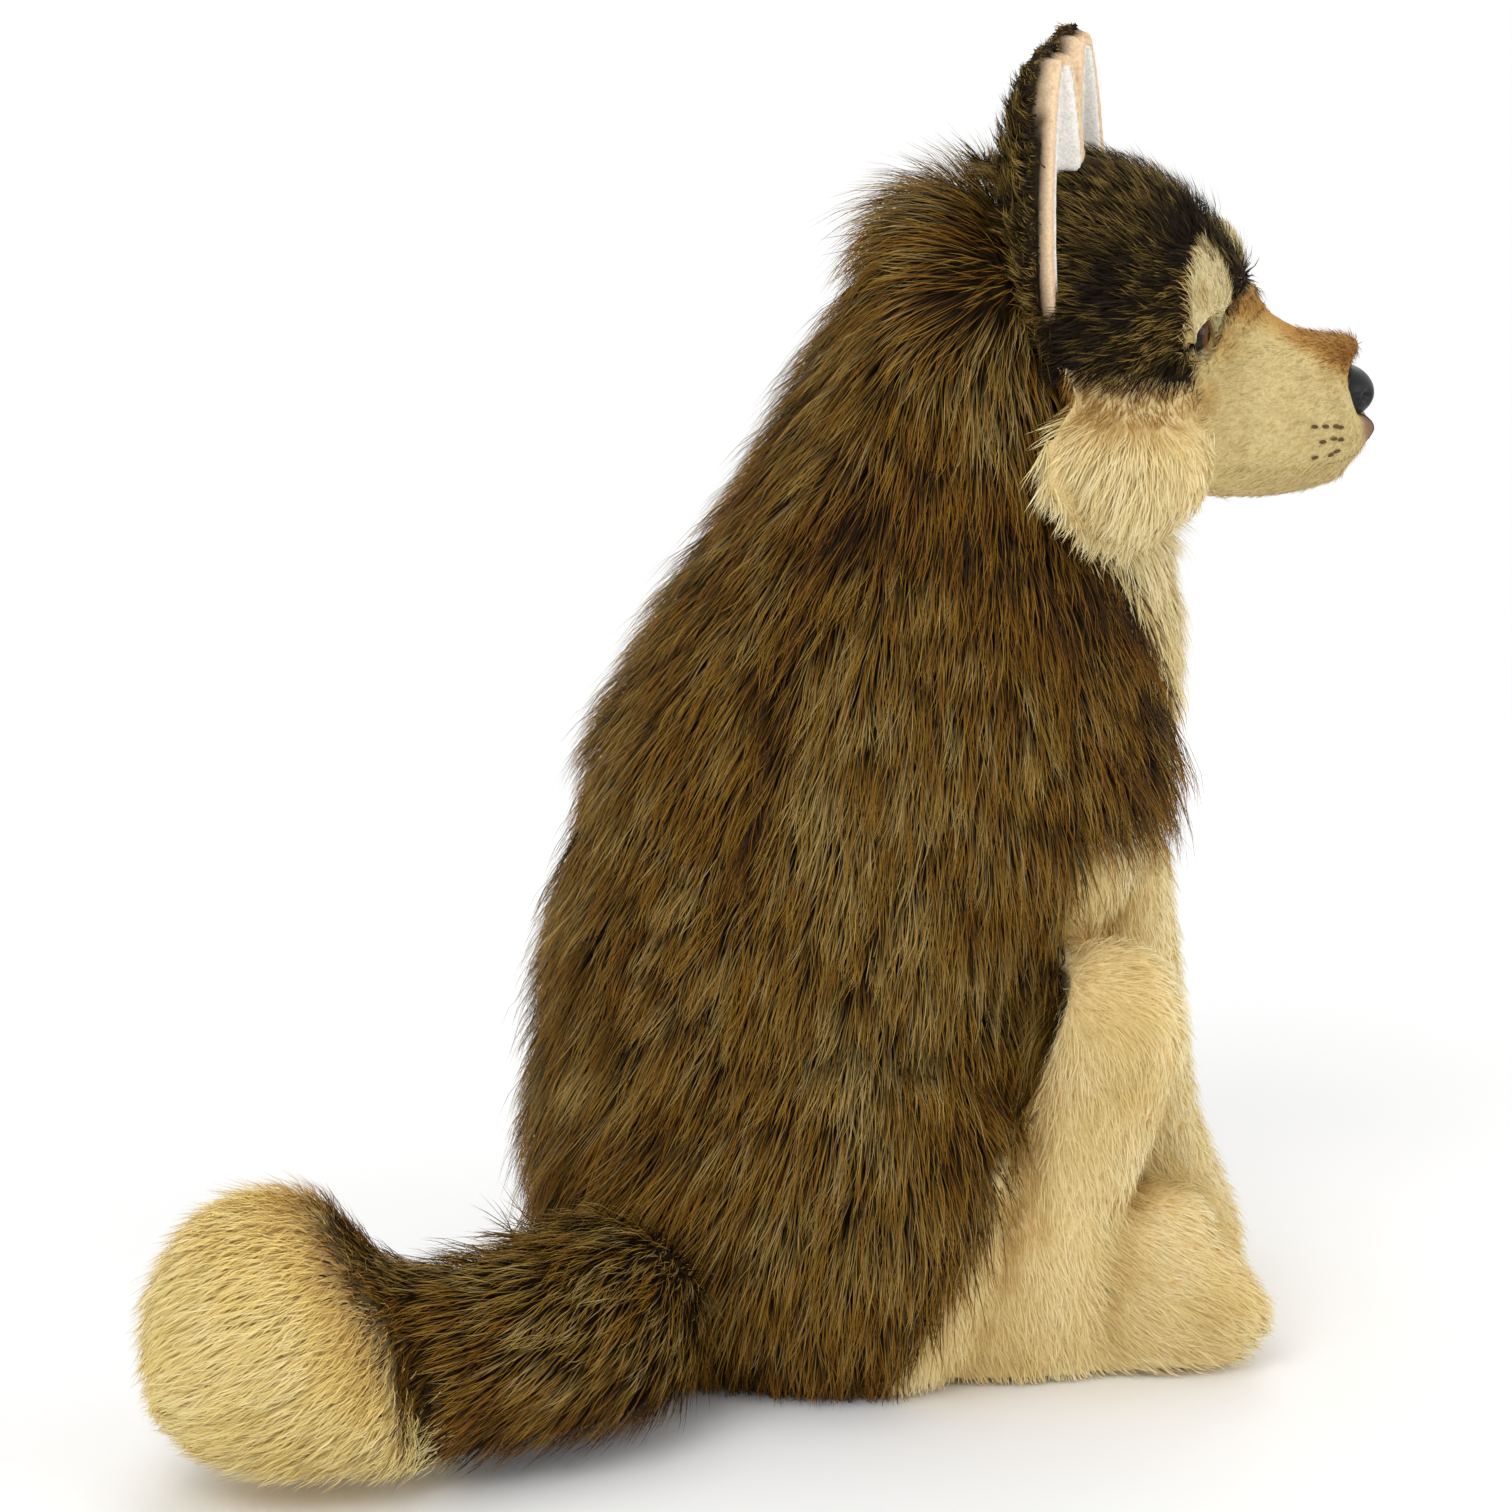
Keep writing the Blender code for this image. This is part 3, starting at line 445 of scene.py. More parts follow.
CHEST_SIDE_FORE, CHEST_SIDE_ABOVE = (0.035, 0.060), (0.160, 0.180)
LOW_BELOW, HEM_DARK_BELOW = (0.120, 0.060), (0.040, 0.0)
UNDER_CHEEK_HEIGHT, UNDER_CHEEK_REACH, UNDER_CHEEK_FORE = 0.245, 0.015, (0.0, 0.035)


def strand_of(name, rows):
    """A tapered strand as a flat blade: its rows are (share of length, share of half width), then its tip."""
    work = bmesh.new()
    along, across = work.verts.layers.float.new("along"), work.verts.layers.float.new("across")

    def point(share, side):
        made = work.verts.new((side, share, 0))
        made[along], made[across] = share, side
        return made

    pairs = [(point(share, -half), point(share, half)) for share, half in rows]
    for near, far in zip(pairs, pairs[1:]):
        work.faces.new((near[0], near[1], far[1], far[0]))
    work.faces.new((pairs[-1][0], pairs[-1][1], point(1.0, 0.0)))
    return made_from(name, work)


def pile_tree():
    """Strands scattered over a hide, which says at each point how thick, long, toned and laid they are."""
    tree = bpy.data.node_groups.new("pile", "GeometryNodeTree")
    tree.interface.new_socket("Hide", in_out="INPUT", socket_type="NodeSocketGeometry")
    tree.interface.new_socket("Pile", in_out="OUTPUT", socket_type="NodeSocketGeometry")
    for label, kind in (
        ("Strand", "Object"), ("Finish", "Material"), ("Seed", "Int"), *((key, "Float") for key in PILE_KEYS),
    ):
        tree.interface.new_socket(label, in_out="INPUT", socket_type="NodeSocket" + kind)
    hide = Wire(tree).node("NodeGroupInput", output="Hide")
    given = hide.sibling

    def kept(name, kind="FLOAT"):
        return hide.node("GeometryNodeInputNamedAttribute", {"data_type": kind}, {"Name": name}, "Attribute")

    def keep(geometry, name, value, kind, domain="POINT"):
        return hide.node(
            "GeometryNodeStoreNamedAttribute", {"data_type": kind, "domain": domain},
            {"Geometry": geometry, "Name": name, "Value": value},
        )

    points = hide.node(
        "GeometryNodeDistributePointsOnFaces", {"distribute_method": "RANDOM"},
        {"Mesh": hide, "Density": given("Per square metre") * kept("thick"), "Seed": given("Seed")}, "Points",
    )
    dice = hide.node(
        "FunctionNodeRandomValue", {"data_type": "FLOAT_VECTOR"},
        {"Min": (0, 0, 0), "Max": (1, 1, 1), "Seed": given("Seed")},
    )
    second = hide.node(
        "FunctionNodeRandomValue", {"data_type": "FLOAT_VECTOR"},
        {"Min": (-1, -1, -1), "Max": (1, 1, 1), "Seed": given("Seed") + SECOND_SEED},
    )
    rooted = keep(points, "root", hide.node("GeometryNodeInputPosition"), "FLOAT_VECTOR")
    rooted = keep(rooted, "up", points.sibling("Normal"), "FLOAT_VECTOR")
    rooted = keep(rooted, "dice", dice, "FLOAT_VECTOR")
    rooted = keep(rooted, "stray", second, "FLOAT_VECTOR")
    strand = hide.node("GeometryNodeObjectInfo", inputs={"Object": given("Strand")}, output="Geometry")
    placed = hide.node("GeometryNodeInstanceOnPoints", inputs={"Points": rooted, "Instance": strand})
    grown = hide.node("GeometryNodeRealizeInstances", inputs={"Geometry": placed})

    root, up, stray = kept("root", "FLOAT_VECTOR"), kept("up", "FLOAT_VECTOR"), kept("stray", "FLOAT_VECTOR")
    throws = hide.node("ShaderNodeSeparateXYZ", inputs={0: kept("dice", "FLOAT_VECTOR")}, output="X")
    second_throw, third_throw = throws.sibling("Y"), throws.sibling("Z")
    share = kept("along")
    lie = (kept("flow", "FLOAT_VECTOR") + stray.scaled(given("Scatter"))).of("NORMALIZE")
    sideways = lie.of("CROSS_PRODUCT", up).of("NORMALIZE")
    fineness = hide.node("ShaderNodeMath", {"operation": "DIVIDE"}, {0: 1.0, 1: given("Lock size")})
    lock = hide.node("ShaderNodeTexVoronoi", inputs={"Vector": root, "Scale": fineness}, output="Position")
    coarseness = fineness * TUFT_FINENESS
    tuft = hide.node("ShaderNodeTexVoronoi", inputs={"Vector": root, "Scale": coarseness}, output="Position")
    lock_throws = hide.node("ShaderNodeSeparateXYZ", inputs={0: lock.sibling("Color")}, output="X")
    tuft_throws = hide.node("ShaderNodeSeparateXYZ", inputs={0: tuft.sibling("Color")}, output="X")
    of_lock = (lock_throws + tuft_throws - 1.0) * given("Lock variety") + 1.0
    length = kept("pile") * (second_throw * LENGTH_VARIES + LENGTH_SURE) * of_lock
    turn = (third_throw - 0.5) * BLADE_TURN
    half = kept("across") * given("Half width")
    rest = 1.0 - share
    stand = lock_throws.sibling("Y") + tuft_throws.sibling("Y") - 1.0
    stand = stand * given("Lock variety") * STAND_VARIES + 1.0
    rise = (1.0 - rest * rest) * given("Lift") * stand
    pull = (lock - root) + (tuft - root).scaled(TUFT_PULL)
    pull = pull - up.scaled(pull.of("DOT_PRODUCT", up))
    bend = (throws - 0.5) * given("Curl") * length * share * share
    grown_to = (
        root + lie.scaled(length * share) + up.scaled(length * rise - ROOT_SINK)
        + sideways.scaled(half * turn.of("COSINE") + bend) + up.scaled(half * turn.of("SINE"))
        + pull.scaled(given("Lock pull") * share * share)
    )
    level = hide.node("ShaderNodeSeparateXYZ", inputs={0: grown_to}, output="Z")
    height = (level - given("Droop") * length * share * share).of("MAXIMUM", STRAND_FLOOR)
    settled = hide.node(
        "ShaderNodeCombineXYZ", inputs={0: level.sibling("X"), 1: level.sibling("Y"), 2: height}
    )
    shaped = hide.node("GeometryNodeSetPosition", inputs={"Geometry": grown, "Position": settled})
    patches = hide.node(
        "ShaderNodeTexNoise", inputs={"Vector": root, "Detail": 2.0, "Scale": hide.node(
            "ShaderNodeMath", {"operation": "DIVIDE"}, {0: 1.0, 1: given("Patch size")})}, output="Fac",
    )
    tone = kept("tone") + (throws - 0.5) * given("Tone spread") + (patches - 0.5) * given("Patch tone")
    tone = tone + (lock_throws.sibling("Z") - 0.5) * given("Lock tone")
    tone = tone.of("MAXIMUM", LEAST_TONE).of("MINIMUM", MOST_TONE) + kept("across") * EDGE_TONE
    painted = keep(
        shaped, "OFBake", hide.node("ShaderNodeCombineXYZ", inputs={0: tone, 1: share}), "FLOAT2", "CORNER"
    )
    finished = hide.node("GeometryNodeSetMaterial", inputs={"Geometry": painted, "Material": given("Finish")})
    out = tree.nodes.new("NodeGroupOutput")
    tree.links.new(finished.socket, out.inputs["Pile"])
    return tree


PILE = pile_tree()
long_strand, short_strand = strand_of("long_strand", STRAND_ROWS), strand_of("short_strand", SHORT_ROWS)


def pile_finish(name, tones, root_tone, root_share, roughness):
    """Acrylic pile: each strand runs from the colour of its root to its own tone of the tips."""
    made, shader, start = new_finish(name, roughness, shine=0.1)
    chart = start.node("ShaderNodeUVMap", {"uv_map": "OFBake"})
    tone = start.node("ShaderNodeSeparateXYZ", inputs={0: chart}, output="X")
    tips = start.node("ShaderNodeValToRGB", {"stops": tones}, {"Fac": tone})
    rise = start.node("ShaderNodeMapRange", {"interpolation_type": "SMOOTHSTEP"}, {
        "Value": tone.sibling("Y"), "From Min": ROOT_COVERED, "From Max": root_share})
    mixed = {"Factor": rise, "A": (*root_tone, 1), "B": tips}
    start.node("ShaderNodeMix", {"data_type": "RGBA"}, mixed).into(shader, "Base Color")
    return made


SCRATCH_ATTRIBUTES = ("along", "across", "root", "up", "dice", "stray", "thick", "pile", "flow", "tone", "tint")


def grow(name, hide, strand, finish, thick, length, lie, tone, settings, seed):
    """The pile of one area of a hide, as a plain mesh of strands. The settings follow PILE_KEYS."""
    pile = linked(name, hide.data.copy())
    for label, values in (("thick", thick), ("pile", length), ("flow", lie), ("tone", tone)):
        store(pile.data, label, np.broadcast_to(values, len(thick)) if label in ("pile", "tone") else values)
    growth = pile.modifiers.new("pile", "NODES")
    growth.node_group = PILE
    wanted = {"Strand": strand, "Finish": finish, "Seed": seed, **dict(zip(PILE_KEYS, settings))}
    for item in PILE.interface.items_tree:
        if item.in_out == "INPUT" and item.name in wanted:
            growth[item.identifier] = wanted[item.name]
    made_plain(pile)
    for attribute in [a.name for a in pile.data.attributes if a.name in SCRATCH_ATTRIBUTES]:
        pile.data.attributes.remove(pile.data.attributes[attribute])
    pile.data.shade_smooth()
    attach(pile, "root")


mantle_finish = pile_finish("mantle pile", MANTLE_TONES, MANTLE_ROOT, root_share=0.85, roughness=0.6)
neck = ramp(z, *NECK_ABOVE) * ramp(fore, *NECK_BEHIND)
leaning = np.interp(fore, LEAN_FORES, LEANS) * ramp(z, *LEAN_ABOVE) + NECK_LEAN * neck
guide = mix(np.c_[0 * z, leaning, -1 + 0 * z], np.array(NAPE_LIE), ramp(z, *NAPE_ABOVE))
by_tail = soft_spot((x, fore, z), BY_TAIL_AT, BY_TAIL_REACH, power=2) * ramp(x, *BY_TAIL_SIDE)
guide = mix(guide, np.array(BY_TAIL_LIE), by_tail)
by_knee = soft_spot((fore - flank_border,), (BY_KNEE_AT,), (BY_KNEE_REACH,))
by_knee = by_knee * ramp(z, *BY_KNEE_BELOW) * ramp(z, *BY_KNEE_ABOVE)
guide = mix(guide, np.array(BY_KNEE_LIE), BY_KNEE_SHARE * by_knee)
mantle_lie = along_surface(guide, facing)
flap = ramp(z, *FLAP_BELOW) * ramp(z, *FLAP_ABOVE) * ramp(fore, *FLAP_FORE)
mantle_length = MANTLE_LENGTH * (1 - HEM_SHORTER * ramp(z, *HEM_BELOW)) * (
    1 - FRONT_SHORTER * ramp(fore, *FRONT_FORE) + FLAP_LONGER * flap + BY_TAIL_LONGER * by_tail
)
seam = soft_spot((z,), (SEAM_HEIGHT,), (SEAM_REACH,)) * ramp(fore, *SEAM_FORE) * ramp(fore, *SEAM_BEHIND)
fold = soft_spot((fore + FOLD_SLOPE * (SEAM_HEIGHT - z),), (FOLD_AT,), (FOLD_REACH,))
fold = fold * ramp(z, *FOLD_ABOVE) * ramp(z, *FOLD_BELOW)
chest_side = ramp(fore, *CHEST_SIDE_FORE) * ramp(z, *CHEST_SIDE_ABOVE)
under_cheek = soft_spot((z,), (UNDER_CHEEK_HEIGHT,), (UNDER_CHEEK_REACH,)) * ramp(fore, *UNDER_CHEEK_FORE)
mantle_tone = (
    MANTLE_TONE + SEAM_TONE * np.maximum(seam, FOLD_SHARE * fold)
    + FLANK_TONE * soft_spot((fore, z), FLANK_AT, FLANK_REACH) + BY_KNEE_TONE * by_knee
    + CHEST_SIDE_TONE * chest_side + LOW_TONE * ramp(z, *LOW_BELOW) + HEM_TONE * ramp(z, *HEM_DARK_BELOW)
    + UNDER_CHEEK_TONE * under_cheek
)
for side, label in ((-1, "right"), (1, "left")):
    grow(
        "mantle_pile_" + label, body_hide, long_strand, mantle_finish,
        mantle_share * (1 - sole) * (x * side > 0), mantle_length, mantle_lie, mantle_tone,
        MANTLE_PILE, seed=11 + side,
    )

# Chest and legs
# Cream plush: medium pile on the throat and chest, short pile on the legs, knees and feet.
CREAM_TONES = (
    (0.00, (0.300, 0.130, 0.025)),
    (0.25, (0.600, 0.370, 0.110)),
    (0.50, (0.790, 0.610, 0.260)),
    (0.75, (0.870, 0.730, 0.390)),
    (1.00, (0.940, 0.850, 0.570)),
)
CREAM_ROOT = (0.800, 0.630, 0.290)
CHEST_PILE = (900000.0, 0.00023, 0.34, 0.15, 0.006, 0.5, 0.18, 0.12, 0.4, 0.05, 0.3, 0.02, 0.25)
LEG_PILE = (840000.0, 0.00019, 0.36, 0.26, 0.007, 0.30, 0.14, 0.05, 0.3, 0.0, 0.16, 0.020, 0.70)
FOOT_BELOW, FOOT_FORE = (0.062, 0.050), (0.050, 0.070)
KNEE_ABOVE, KNEE_FORE, KNEE_OUT = (0.105, 0.130), (0.035, 0.050), (0.045, 0.055)
# Which way the cream pile lies: how far out, and as (Y, Z) on the legs, and what feet and knees add to that
LEG_SPREAD, CHEST_SPREAD = 0.25, -0.10
LEG_LIE, FOOT_TURN, KNEE_TURN = (-0.25, -1.0), (-1.0, 0.4), (-1.2, 0.6)
CHEST_PALER = 0.06

cream_finish = pile_finish("cream pile", CREAM_TONES, CREAM_ROOT, root_share=0.5, roughness=0.7)
feet = ramp(z, *FOOT_BELOW) * ramp(fore, *FOOT_FORE)
knee = ramp(z, *KNEE_ABOVE) * ramp(fore, *KNEE_FORE) * ramp(np.abs(x), *KNEE_OUT)
down_leg = [LEG_LIE[k] + FOOT_TURN[k] * feet + KNEE_TURN[k] * knee for k in (0, 1)]
leg_guide = np.c_[mix(LEG_SPREAD, CHEST_SPREAD, chest_share) * np.sign(x), down_leg[0], down_leg[1]]
cream_lie = along_surface(leg_guide, facing)
cream_length = mix(LEG_LENGTH, STRIP_LENGTH, chest_share)
grow(
    "chest_pile", body_hide, long_strand, cream_finish, chest_share, cream_length, cream_lie,
    cream_tone_and_painted_light + CHEST_PALER, CHEST_PILE, seed=21,
)
for side, label in ((-1, "right"), (1, "left")):
    grow(
        "leg_pile_" + label, body_hide, short_strand, cream_finish,
        leg_share * (1 - sole) * (x * side > 0), cream_length, cream_lie, cream_tone_and_painted_light, LEG_PILE, seed=31 + side,
    )

# Tail
# A thick tail lies on the floor to the wolf's right and behind it: the same long dark pile, then a pale round
# tip. Its middle line is given as X and fore.
TAIL_LINE = (
    (0.000, -0.075), (-0.048, -0.078), (-0.084, -0.088), (-0.108, -0.140), (-0.128, -0.175), (-0.140, -0.215),
)
TAIL_VOXEL, TAIL_EASE, TAIL_MIDDLE = 0.0028, 45, 0.045
CREASE_ROUNDS, CREASE_FILL = 120, 1.8
TAIL_LENGTH, TAIL_SINK = 0.0190, 0.0070
TIP_LENGTH, TIP_SINK = 0.0105, 0.0050
# The border of the pale tip, as fore at each height, and the dip of the tail just before it
TIP_HEIGHTS = (0.004, 0.0165, 0.034, 0.058, 0.0755, 0.089)
TIP_FORES = (-0.130, -0.137, -0.143, -0.149, -0.157, -0.167)
TIP_BLUR = 0.009
DIP_DEPTH, DIP_AT, DIP_REACH, DIP_ABOVE = 0.0020, 0.004, 0.016, (0.045, 0.075)
TIP_TONES = (
    (0.00, (0.090, 0.045, 0.012)),
    (0.25, (0.420, 0.210, 0.045)),
    (0.50, (0.760, 0.540, 0.180)),
    (0.75, (0.920, 0.730, 0.270)),
    (1.00, (0.970, 0.880, 0.560)),
)
TIP_ROOT = (0.820, 0.620, 0.240)
TAIL_PILE = MANTLE_PILE[:-3] + (0.45, 0.03, 0.45)
TIP_PILE = (1400000.0, 0.00021, 0.55, 0.28, 0.006, 0.16, 0.06, 0.05, 0.4, 0.04, 0.14, 0.02, 0.25)
TAIL_SOLE_FACES, TAIL_SOLE_BELOW, NEAR_HIP_FORE = (-0.7, -0.9), (0.020, 0.012), (-0.120, -0.090)
TAIL_LIE, NEAR_HIP_LIE = (-0.25, 1.0, -0.25), (-0.75, 0.9, -0.45)
TAIL_DOWN, TAIL_DOWN_BELOW = 0.35, (0.035, 0.010)
# Tones of the tail pile: paler near the hip as painted light over the shade of the crease at the tail's root,
# darker low down and just before the tip
TAIL_TONE, NEAR_HIP_PAINTED_LIGHT, TAIL_LOW_TONE, BY_TIP_TONE = 0.60, 0.12, -0.50, -0.15
TAIL_LOW_BELOW, BY_TIP_FORE = (0.042, 0.008), (0.020, 0.0)
FLOOR_SHORTER, FLOOR_BELOW, BORDER_SHORT, BORDER_FORE = 0.25, (0.03, 0.0), 0.55, (0.0, 0.030)
WALL_FACES, WALL_TURN, TIP_DOWN = (0.0, 0.5), 1.3, -0.30
TIP_TONE, TIP_EDGE_TONE, TIP_EDGE_FORE, TIP_EDGE_ABOVE = 0.82, -0.52, (-0.022, 0.006), (0.020, 0.055)

tail_hide = hide_over("tail_hide", ("tail", "tail_tip"), TAIL_VOXEL, TAIL_EASE)
spots, facing = read(tail_hide.data, "co"), read(tail_hide.data, "normal")
x, fore, z = spots[:, 0], -spots[:, 1], spots[:, 2]
stations = np.array(TAIL_LINE)
from_stations = np.linalg.norm(spots[:, None, :2] - (stations * (1, -1))[None], axis=2)
weights = 1.0 / (from_stations + 1e-4) ** 4
tail_way = (weights @ np.gradient(stations, axis=0)) / weights.sum(axis=1)[:, None]
middle = (weights @ stations) / weights.sum(axis=1)[:, None]
outward = unit(spots - np.c_[middle[:, 0], -middle[:, 1], TAIL_MIDDLE + 0 * z])
past_border = fore - np.interp(z, TIP_HEIGHTS, TIP_FORES)
tip_share = ramp(past_border, TIP_BLUR, -TIP_BLUR)
filled = np.maximum(hollows(tail_hide.data, spots, facing, CREASE_ROUNDS), 0)
dip = DIP_DEPTH * soft_spot((past_border,), (DIP_AT,), (DIP_REACH,)) * ramp(z, *DIP_ABOVE)
spots = spots - facing * (mix(TAIL_SINK, TIP_SINK, tip_share) + dip - CREASE_FILL * filled)[:, None]
spots[:, 2] = np.maximum(spots[:, 2], FLOOR_GAP)
place(tail_hide.data, spots)
paint(tail_hide, mix(np.tile(MANTLE_SKIN, (len(spots), 1)), np.array(CREAM_SKIN), tip_share))
tail_hide.data.materials.append(body_hide.data.materials[0])
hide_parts("tail", "tail_tip")
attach(tail_hide, "root")

flat_sole = ramp(facing[:, 2], *TAIL_SOLE_FACES) * ramp(z, *TAIL_SOLE_BELOW)
near_hip = ramp(fore, *NEAR_HIP_FORE)
tail_guide = mix(np.tile(TAIL_LIE, (len(z), 1)), np.array(NEAR_HIP_LIE), near_hip)
tail_guide = tail_guide - np.c_[0 * z, 0 * z, TAIL_DOWN * ramp(z, *TAIL_DOWN_BELOW)]
by_floor = 1 - FLOOR_SHORTER * ramp(z, *FLOOR_BELOW)
# The tail pile is painted paler near the hip, as light over the shade of the crease at its root
grow(
    "tail_pile", tail_hide, long_strand, mantle_finish, (1 - tip_share) * (1 - flat_sole),
    TAIL_LENGTH * by_floor * mix(BORDER_SHORT, 1.0, ramp(past_border, *BORDER_FORE)),
    along_surface(tail_guide, facing),
    TAIL_TONE + NEAR_HIP_PAINTED_LIGHT * near_hip + TAIL_LOW_TONE * ramp(z, *TAIL_LOW_BELOW)
    + BY_TIP_TONE * ramp(past_border, *BY_TIP_FORE), TAIL_PILE, seed=41,
)
tip_finish = pile_finish("tail tip pile", TIP_TONES, TIP_ROOT, root_share=0.45, roughness=0.7)
tip_way = unit(np.c_[tail_way[:, 0], -tail_way[:, 1], np.zeros(len(z))])
wall = ramp(-np.sum(facing * tip_way, axis=1), *WALL_FACES)[:, None]
tip_guide = tip_way + WALL_TURN * wall * outward + np.array([0, 0, TIP_DOWN])
grow(
    "tail_tip_pile", tail_hide, short_strand, tip_finish, tip_share * (1 - flat_sole),
    TIP_LENGTH * by_floor, along_surface(tip_guide, facing),
    TIP_TONE + TIP_EDGE_TONE * ramp(past_border, *TIP_EDGE_FORE) * ramp(z, *TIP_EDGE_ABOVE), TIP_PILE, seed=43,
)

# Head
# The skull wears a short dark cap with a pale leaf round each eye, a fan of cream pile on each cheek, and a
# muzzle of very short pile. It turns to the wolf's own right. "Ahead", "out" and "up" are from its middle.
HEAD_PIVOT, HEAD_TURN = np.array([0.0, -0.045, 0.3165]), math.radians(-16.0)
HEAD_NODES = ("head", "muzzle", "eye_patch_right", "eye_patch_left", "cheek_ruff_right", "cheek_ruff_left")
HEAD_VOXEL, HEAD_EASE = 0.0015, 10
# Borders: the cap's lower edge as up at each ahead, and the muzzle's and the leaf's edges as ahead at each up
CAP_EDGE_FORES = (-0.030, 0.008, 0.024, 0.037, 0.0515)
CAP_EDGE_UPS = (-0.0150, -0.0195, -0.0210, -0.0225, -0.0250)
MUZZLE_EDGE_UPS = (
    -0.0560, -0.0457, -0.0374, -0.0288, -0.0247, -0.0204, -0.0168, -0.0116, -0.0068, -0.0024, -0.0005, 0.0019,
)
MUZZLE_EDGE_FORES = (
    0.0548, 0.0552, 0.0544, 0.0528, 0.0513, 0.0512, 0.0535, 0.0556, 0.0590, 0.0615, 0.0645, 0.0665,
)
LEAF_UPS = (-0.0195, -0.0168, -0.0116, -0.0068, -0.0024, 0.0016, 0.0076, 0.0127, 0.0150)
LEAF_FRONTS = (0.0518, 0.0541, 0.0554, 0.0575, 0.0598, 0.0590, 0.0564, 0.0539, 0.0515)
LEAF_REARS = (0.0515, 0.0498, 0.0487, 0.0483, 0.0481, 0.0481, 0.0488, 0.0503, 0.0515)
LEAF_TOP_AT, LEAF_TOP_REACH, LEAF_TOP_EDGE = (0.0235, 0.0040), (0.0090, 0.0080), (1.15, 0.85)
LEAF_TOP_AHEAD, LEAF_OUT, LEAF_OUT_RIGHT = (0.044, 0.048), (0.0165, 0.0190), 0.0050
CAP_ALL_BEHIND, FACE_BLUR, BEYOND = (0.004, 0.000), 0.0009, 0.09
CAP_LENGTH, CAP_SINK = 0.0070, 0.0026
CHEEK_LENGTH, CHEEK_SINK, CHEEK_AHEAD = 0.0118, 0.0052, (0.056, 0.044)
FACE_LENGTH, FACE_SINK = 0.0030, 0.0007
REAR_LOW_AHEAD, REAR_LOW_UP, REAR_LOW_SINK = (0.036, 0.012), (-0.036, -0.052), 0.0030
CAP_SKIN, LIP_SKIN, LIP_STRENGTH = (0.022, 0.013, 0.006), (0.160, 0.062, 0.050), 0.85
EYE_AT, EYE_RADIUS, EYE_TOE_OUT = (0.0482, 0.0240, -0.0108), 0.0054, math.radians(2.0)
FACE_TONES = (
    (0.00, (0.016, 0.011, 0.008)),
    (0.14, (0.035, 0.020, 0.012)),
    (0.26, (0.240, 0.100, 0.022)),
    (0.40, (0.450, 0.240, 0.065)),
    (0.60, (0.560, 0.400, 0.150)),
    (0.80, (0.620, 0.510, 0.250)),
    (1.00, (0.820, 0.720, 0.450)),
)
# Tones of the face and of the leaf: browner along the bridge and the leaf's rear edge, and in four spots
FACE_TONE, BRIDGE_TONE, LEAF_TONE, LEAF_REAR_TONE = 0.74, -0.36, 0.92, -0.40
BRIDGE_FORES, BRIDGE_UPS = (0.060, 0.072, 0.081, 0.088, 0.095), (-0.0065, -0.0110, -0.0155, -0.0200, -0.0260)
BRIDGE_EDGE, LEAF_REAR_EDGE = (-0.004, 0.002), (0.0018, 0.0)
FACE_SPOTS = (
    # middle and reach, both as ahead and up, and tone: above the nose, at the corner of the eye, under the cap
    ((0.0890, -0.0195), (0.00495, 0.00495), -0.12),
    ((0.0575, -0.0135), (0.00495, 0.00495), -0.22),
    ((0.0525, -0.0285), (0.00424, 0.00424), -0.25),
)
LEAF_SPOT = (0.0528, 0.0005), (0.0013, 0.0030), -0.45
LASH_TONE, LASH_STRENGTH, LASH_REACH, LASH_AHEAD = 0.06, 0.9, (1.32, 1.02), (0.0505, 0.0530)
LIPS_AT, LIPS_REACH, LIPS_AHEAD = (0.0, -0.0405), (0.0085, 0.0050), (0.086, 0.091)
NOSE_BED_AT, NOSE_BED_REACH, NOSE_BED_AHEAD = (0.0, -0.030), (0.0098, 0.0075), (0.084, 0.090)
# The muzzle narrows towards the nose and towards the chin
TO_NOSE, TO_NOSE_AHEAD = 0.10, (0.060, 0.090)
TO_CHIN, TO_CHIN_UP, TO_CHIN_AHEAD = 0.16, (-0.045, -0.061), (0.055, 0.070)
SWELLS = (
    # middle, reach each way and push, all as ahead, left and up
    ((0.0920, 0.0, -0.0180), (0.0055, 0.0120, 0.0055), (0.0026, 0.0, 0.0020)),  # above the nose
    ((0.0780, 0.0, -0.0130), (0.0090, 0.0120, 0.0060), (0.0, 0.0, -0.0026)),  # bridge
    ((0.0665, 0.0, -0.0088), (0.0050, 0.0120, 0.0042), (0.0015, 0.0, 0.0008)),  # foot of the brow
    ((0.0940, 0.0, -0.0300), (0.0120, 0.0115, 0.0072), (-0.0048, 0.0, 0.0)),  # bed of the nose
    ((0.0945, 0.0, -0.0405), (0.0080, 0.0060, 0.0042), (0.0032, 0.0, 0.0)),  # lips
    ((0.0480, -0.0325, -0.0105), (0.0045, 0.0050, 0.0085), (0.0012, -0.0030, 0.0)),  # outside the right eye
    ((0.0480, 0.0325, -0.0105), (0.0045, 0.0050, 0.0085), (0.0012, 0.0030, 0.0)),  # outside the left eye
)

head_fore = np.array([math.sin(HEAD_TURN), -math.cos(HEAD_TURN), 0.0])
head_left = np.array([math.cos(HEAD_TURN), math.sin(HEAD_TURN), 0.0])
head_axes = np.array([head_fore, head_left, (0.0, 0.0, 1.0)])


def in_head(points):
    """Distances ahead of, to the left of and above the middle of the head."""
    return (points - HEAD_PIVOT) @ head_axes.T


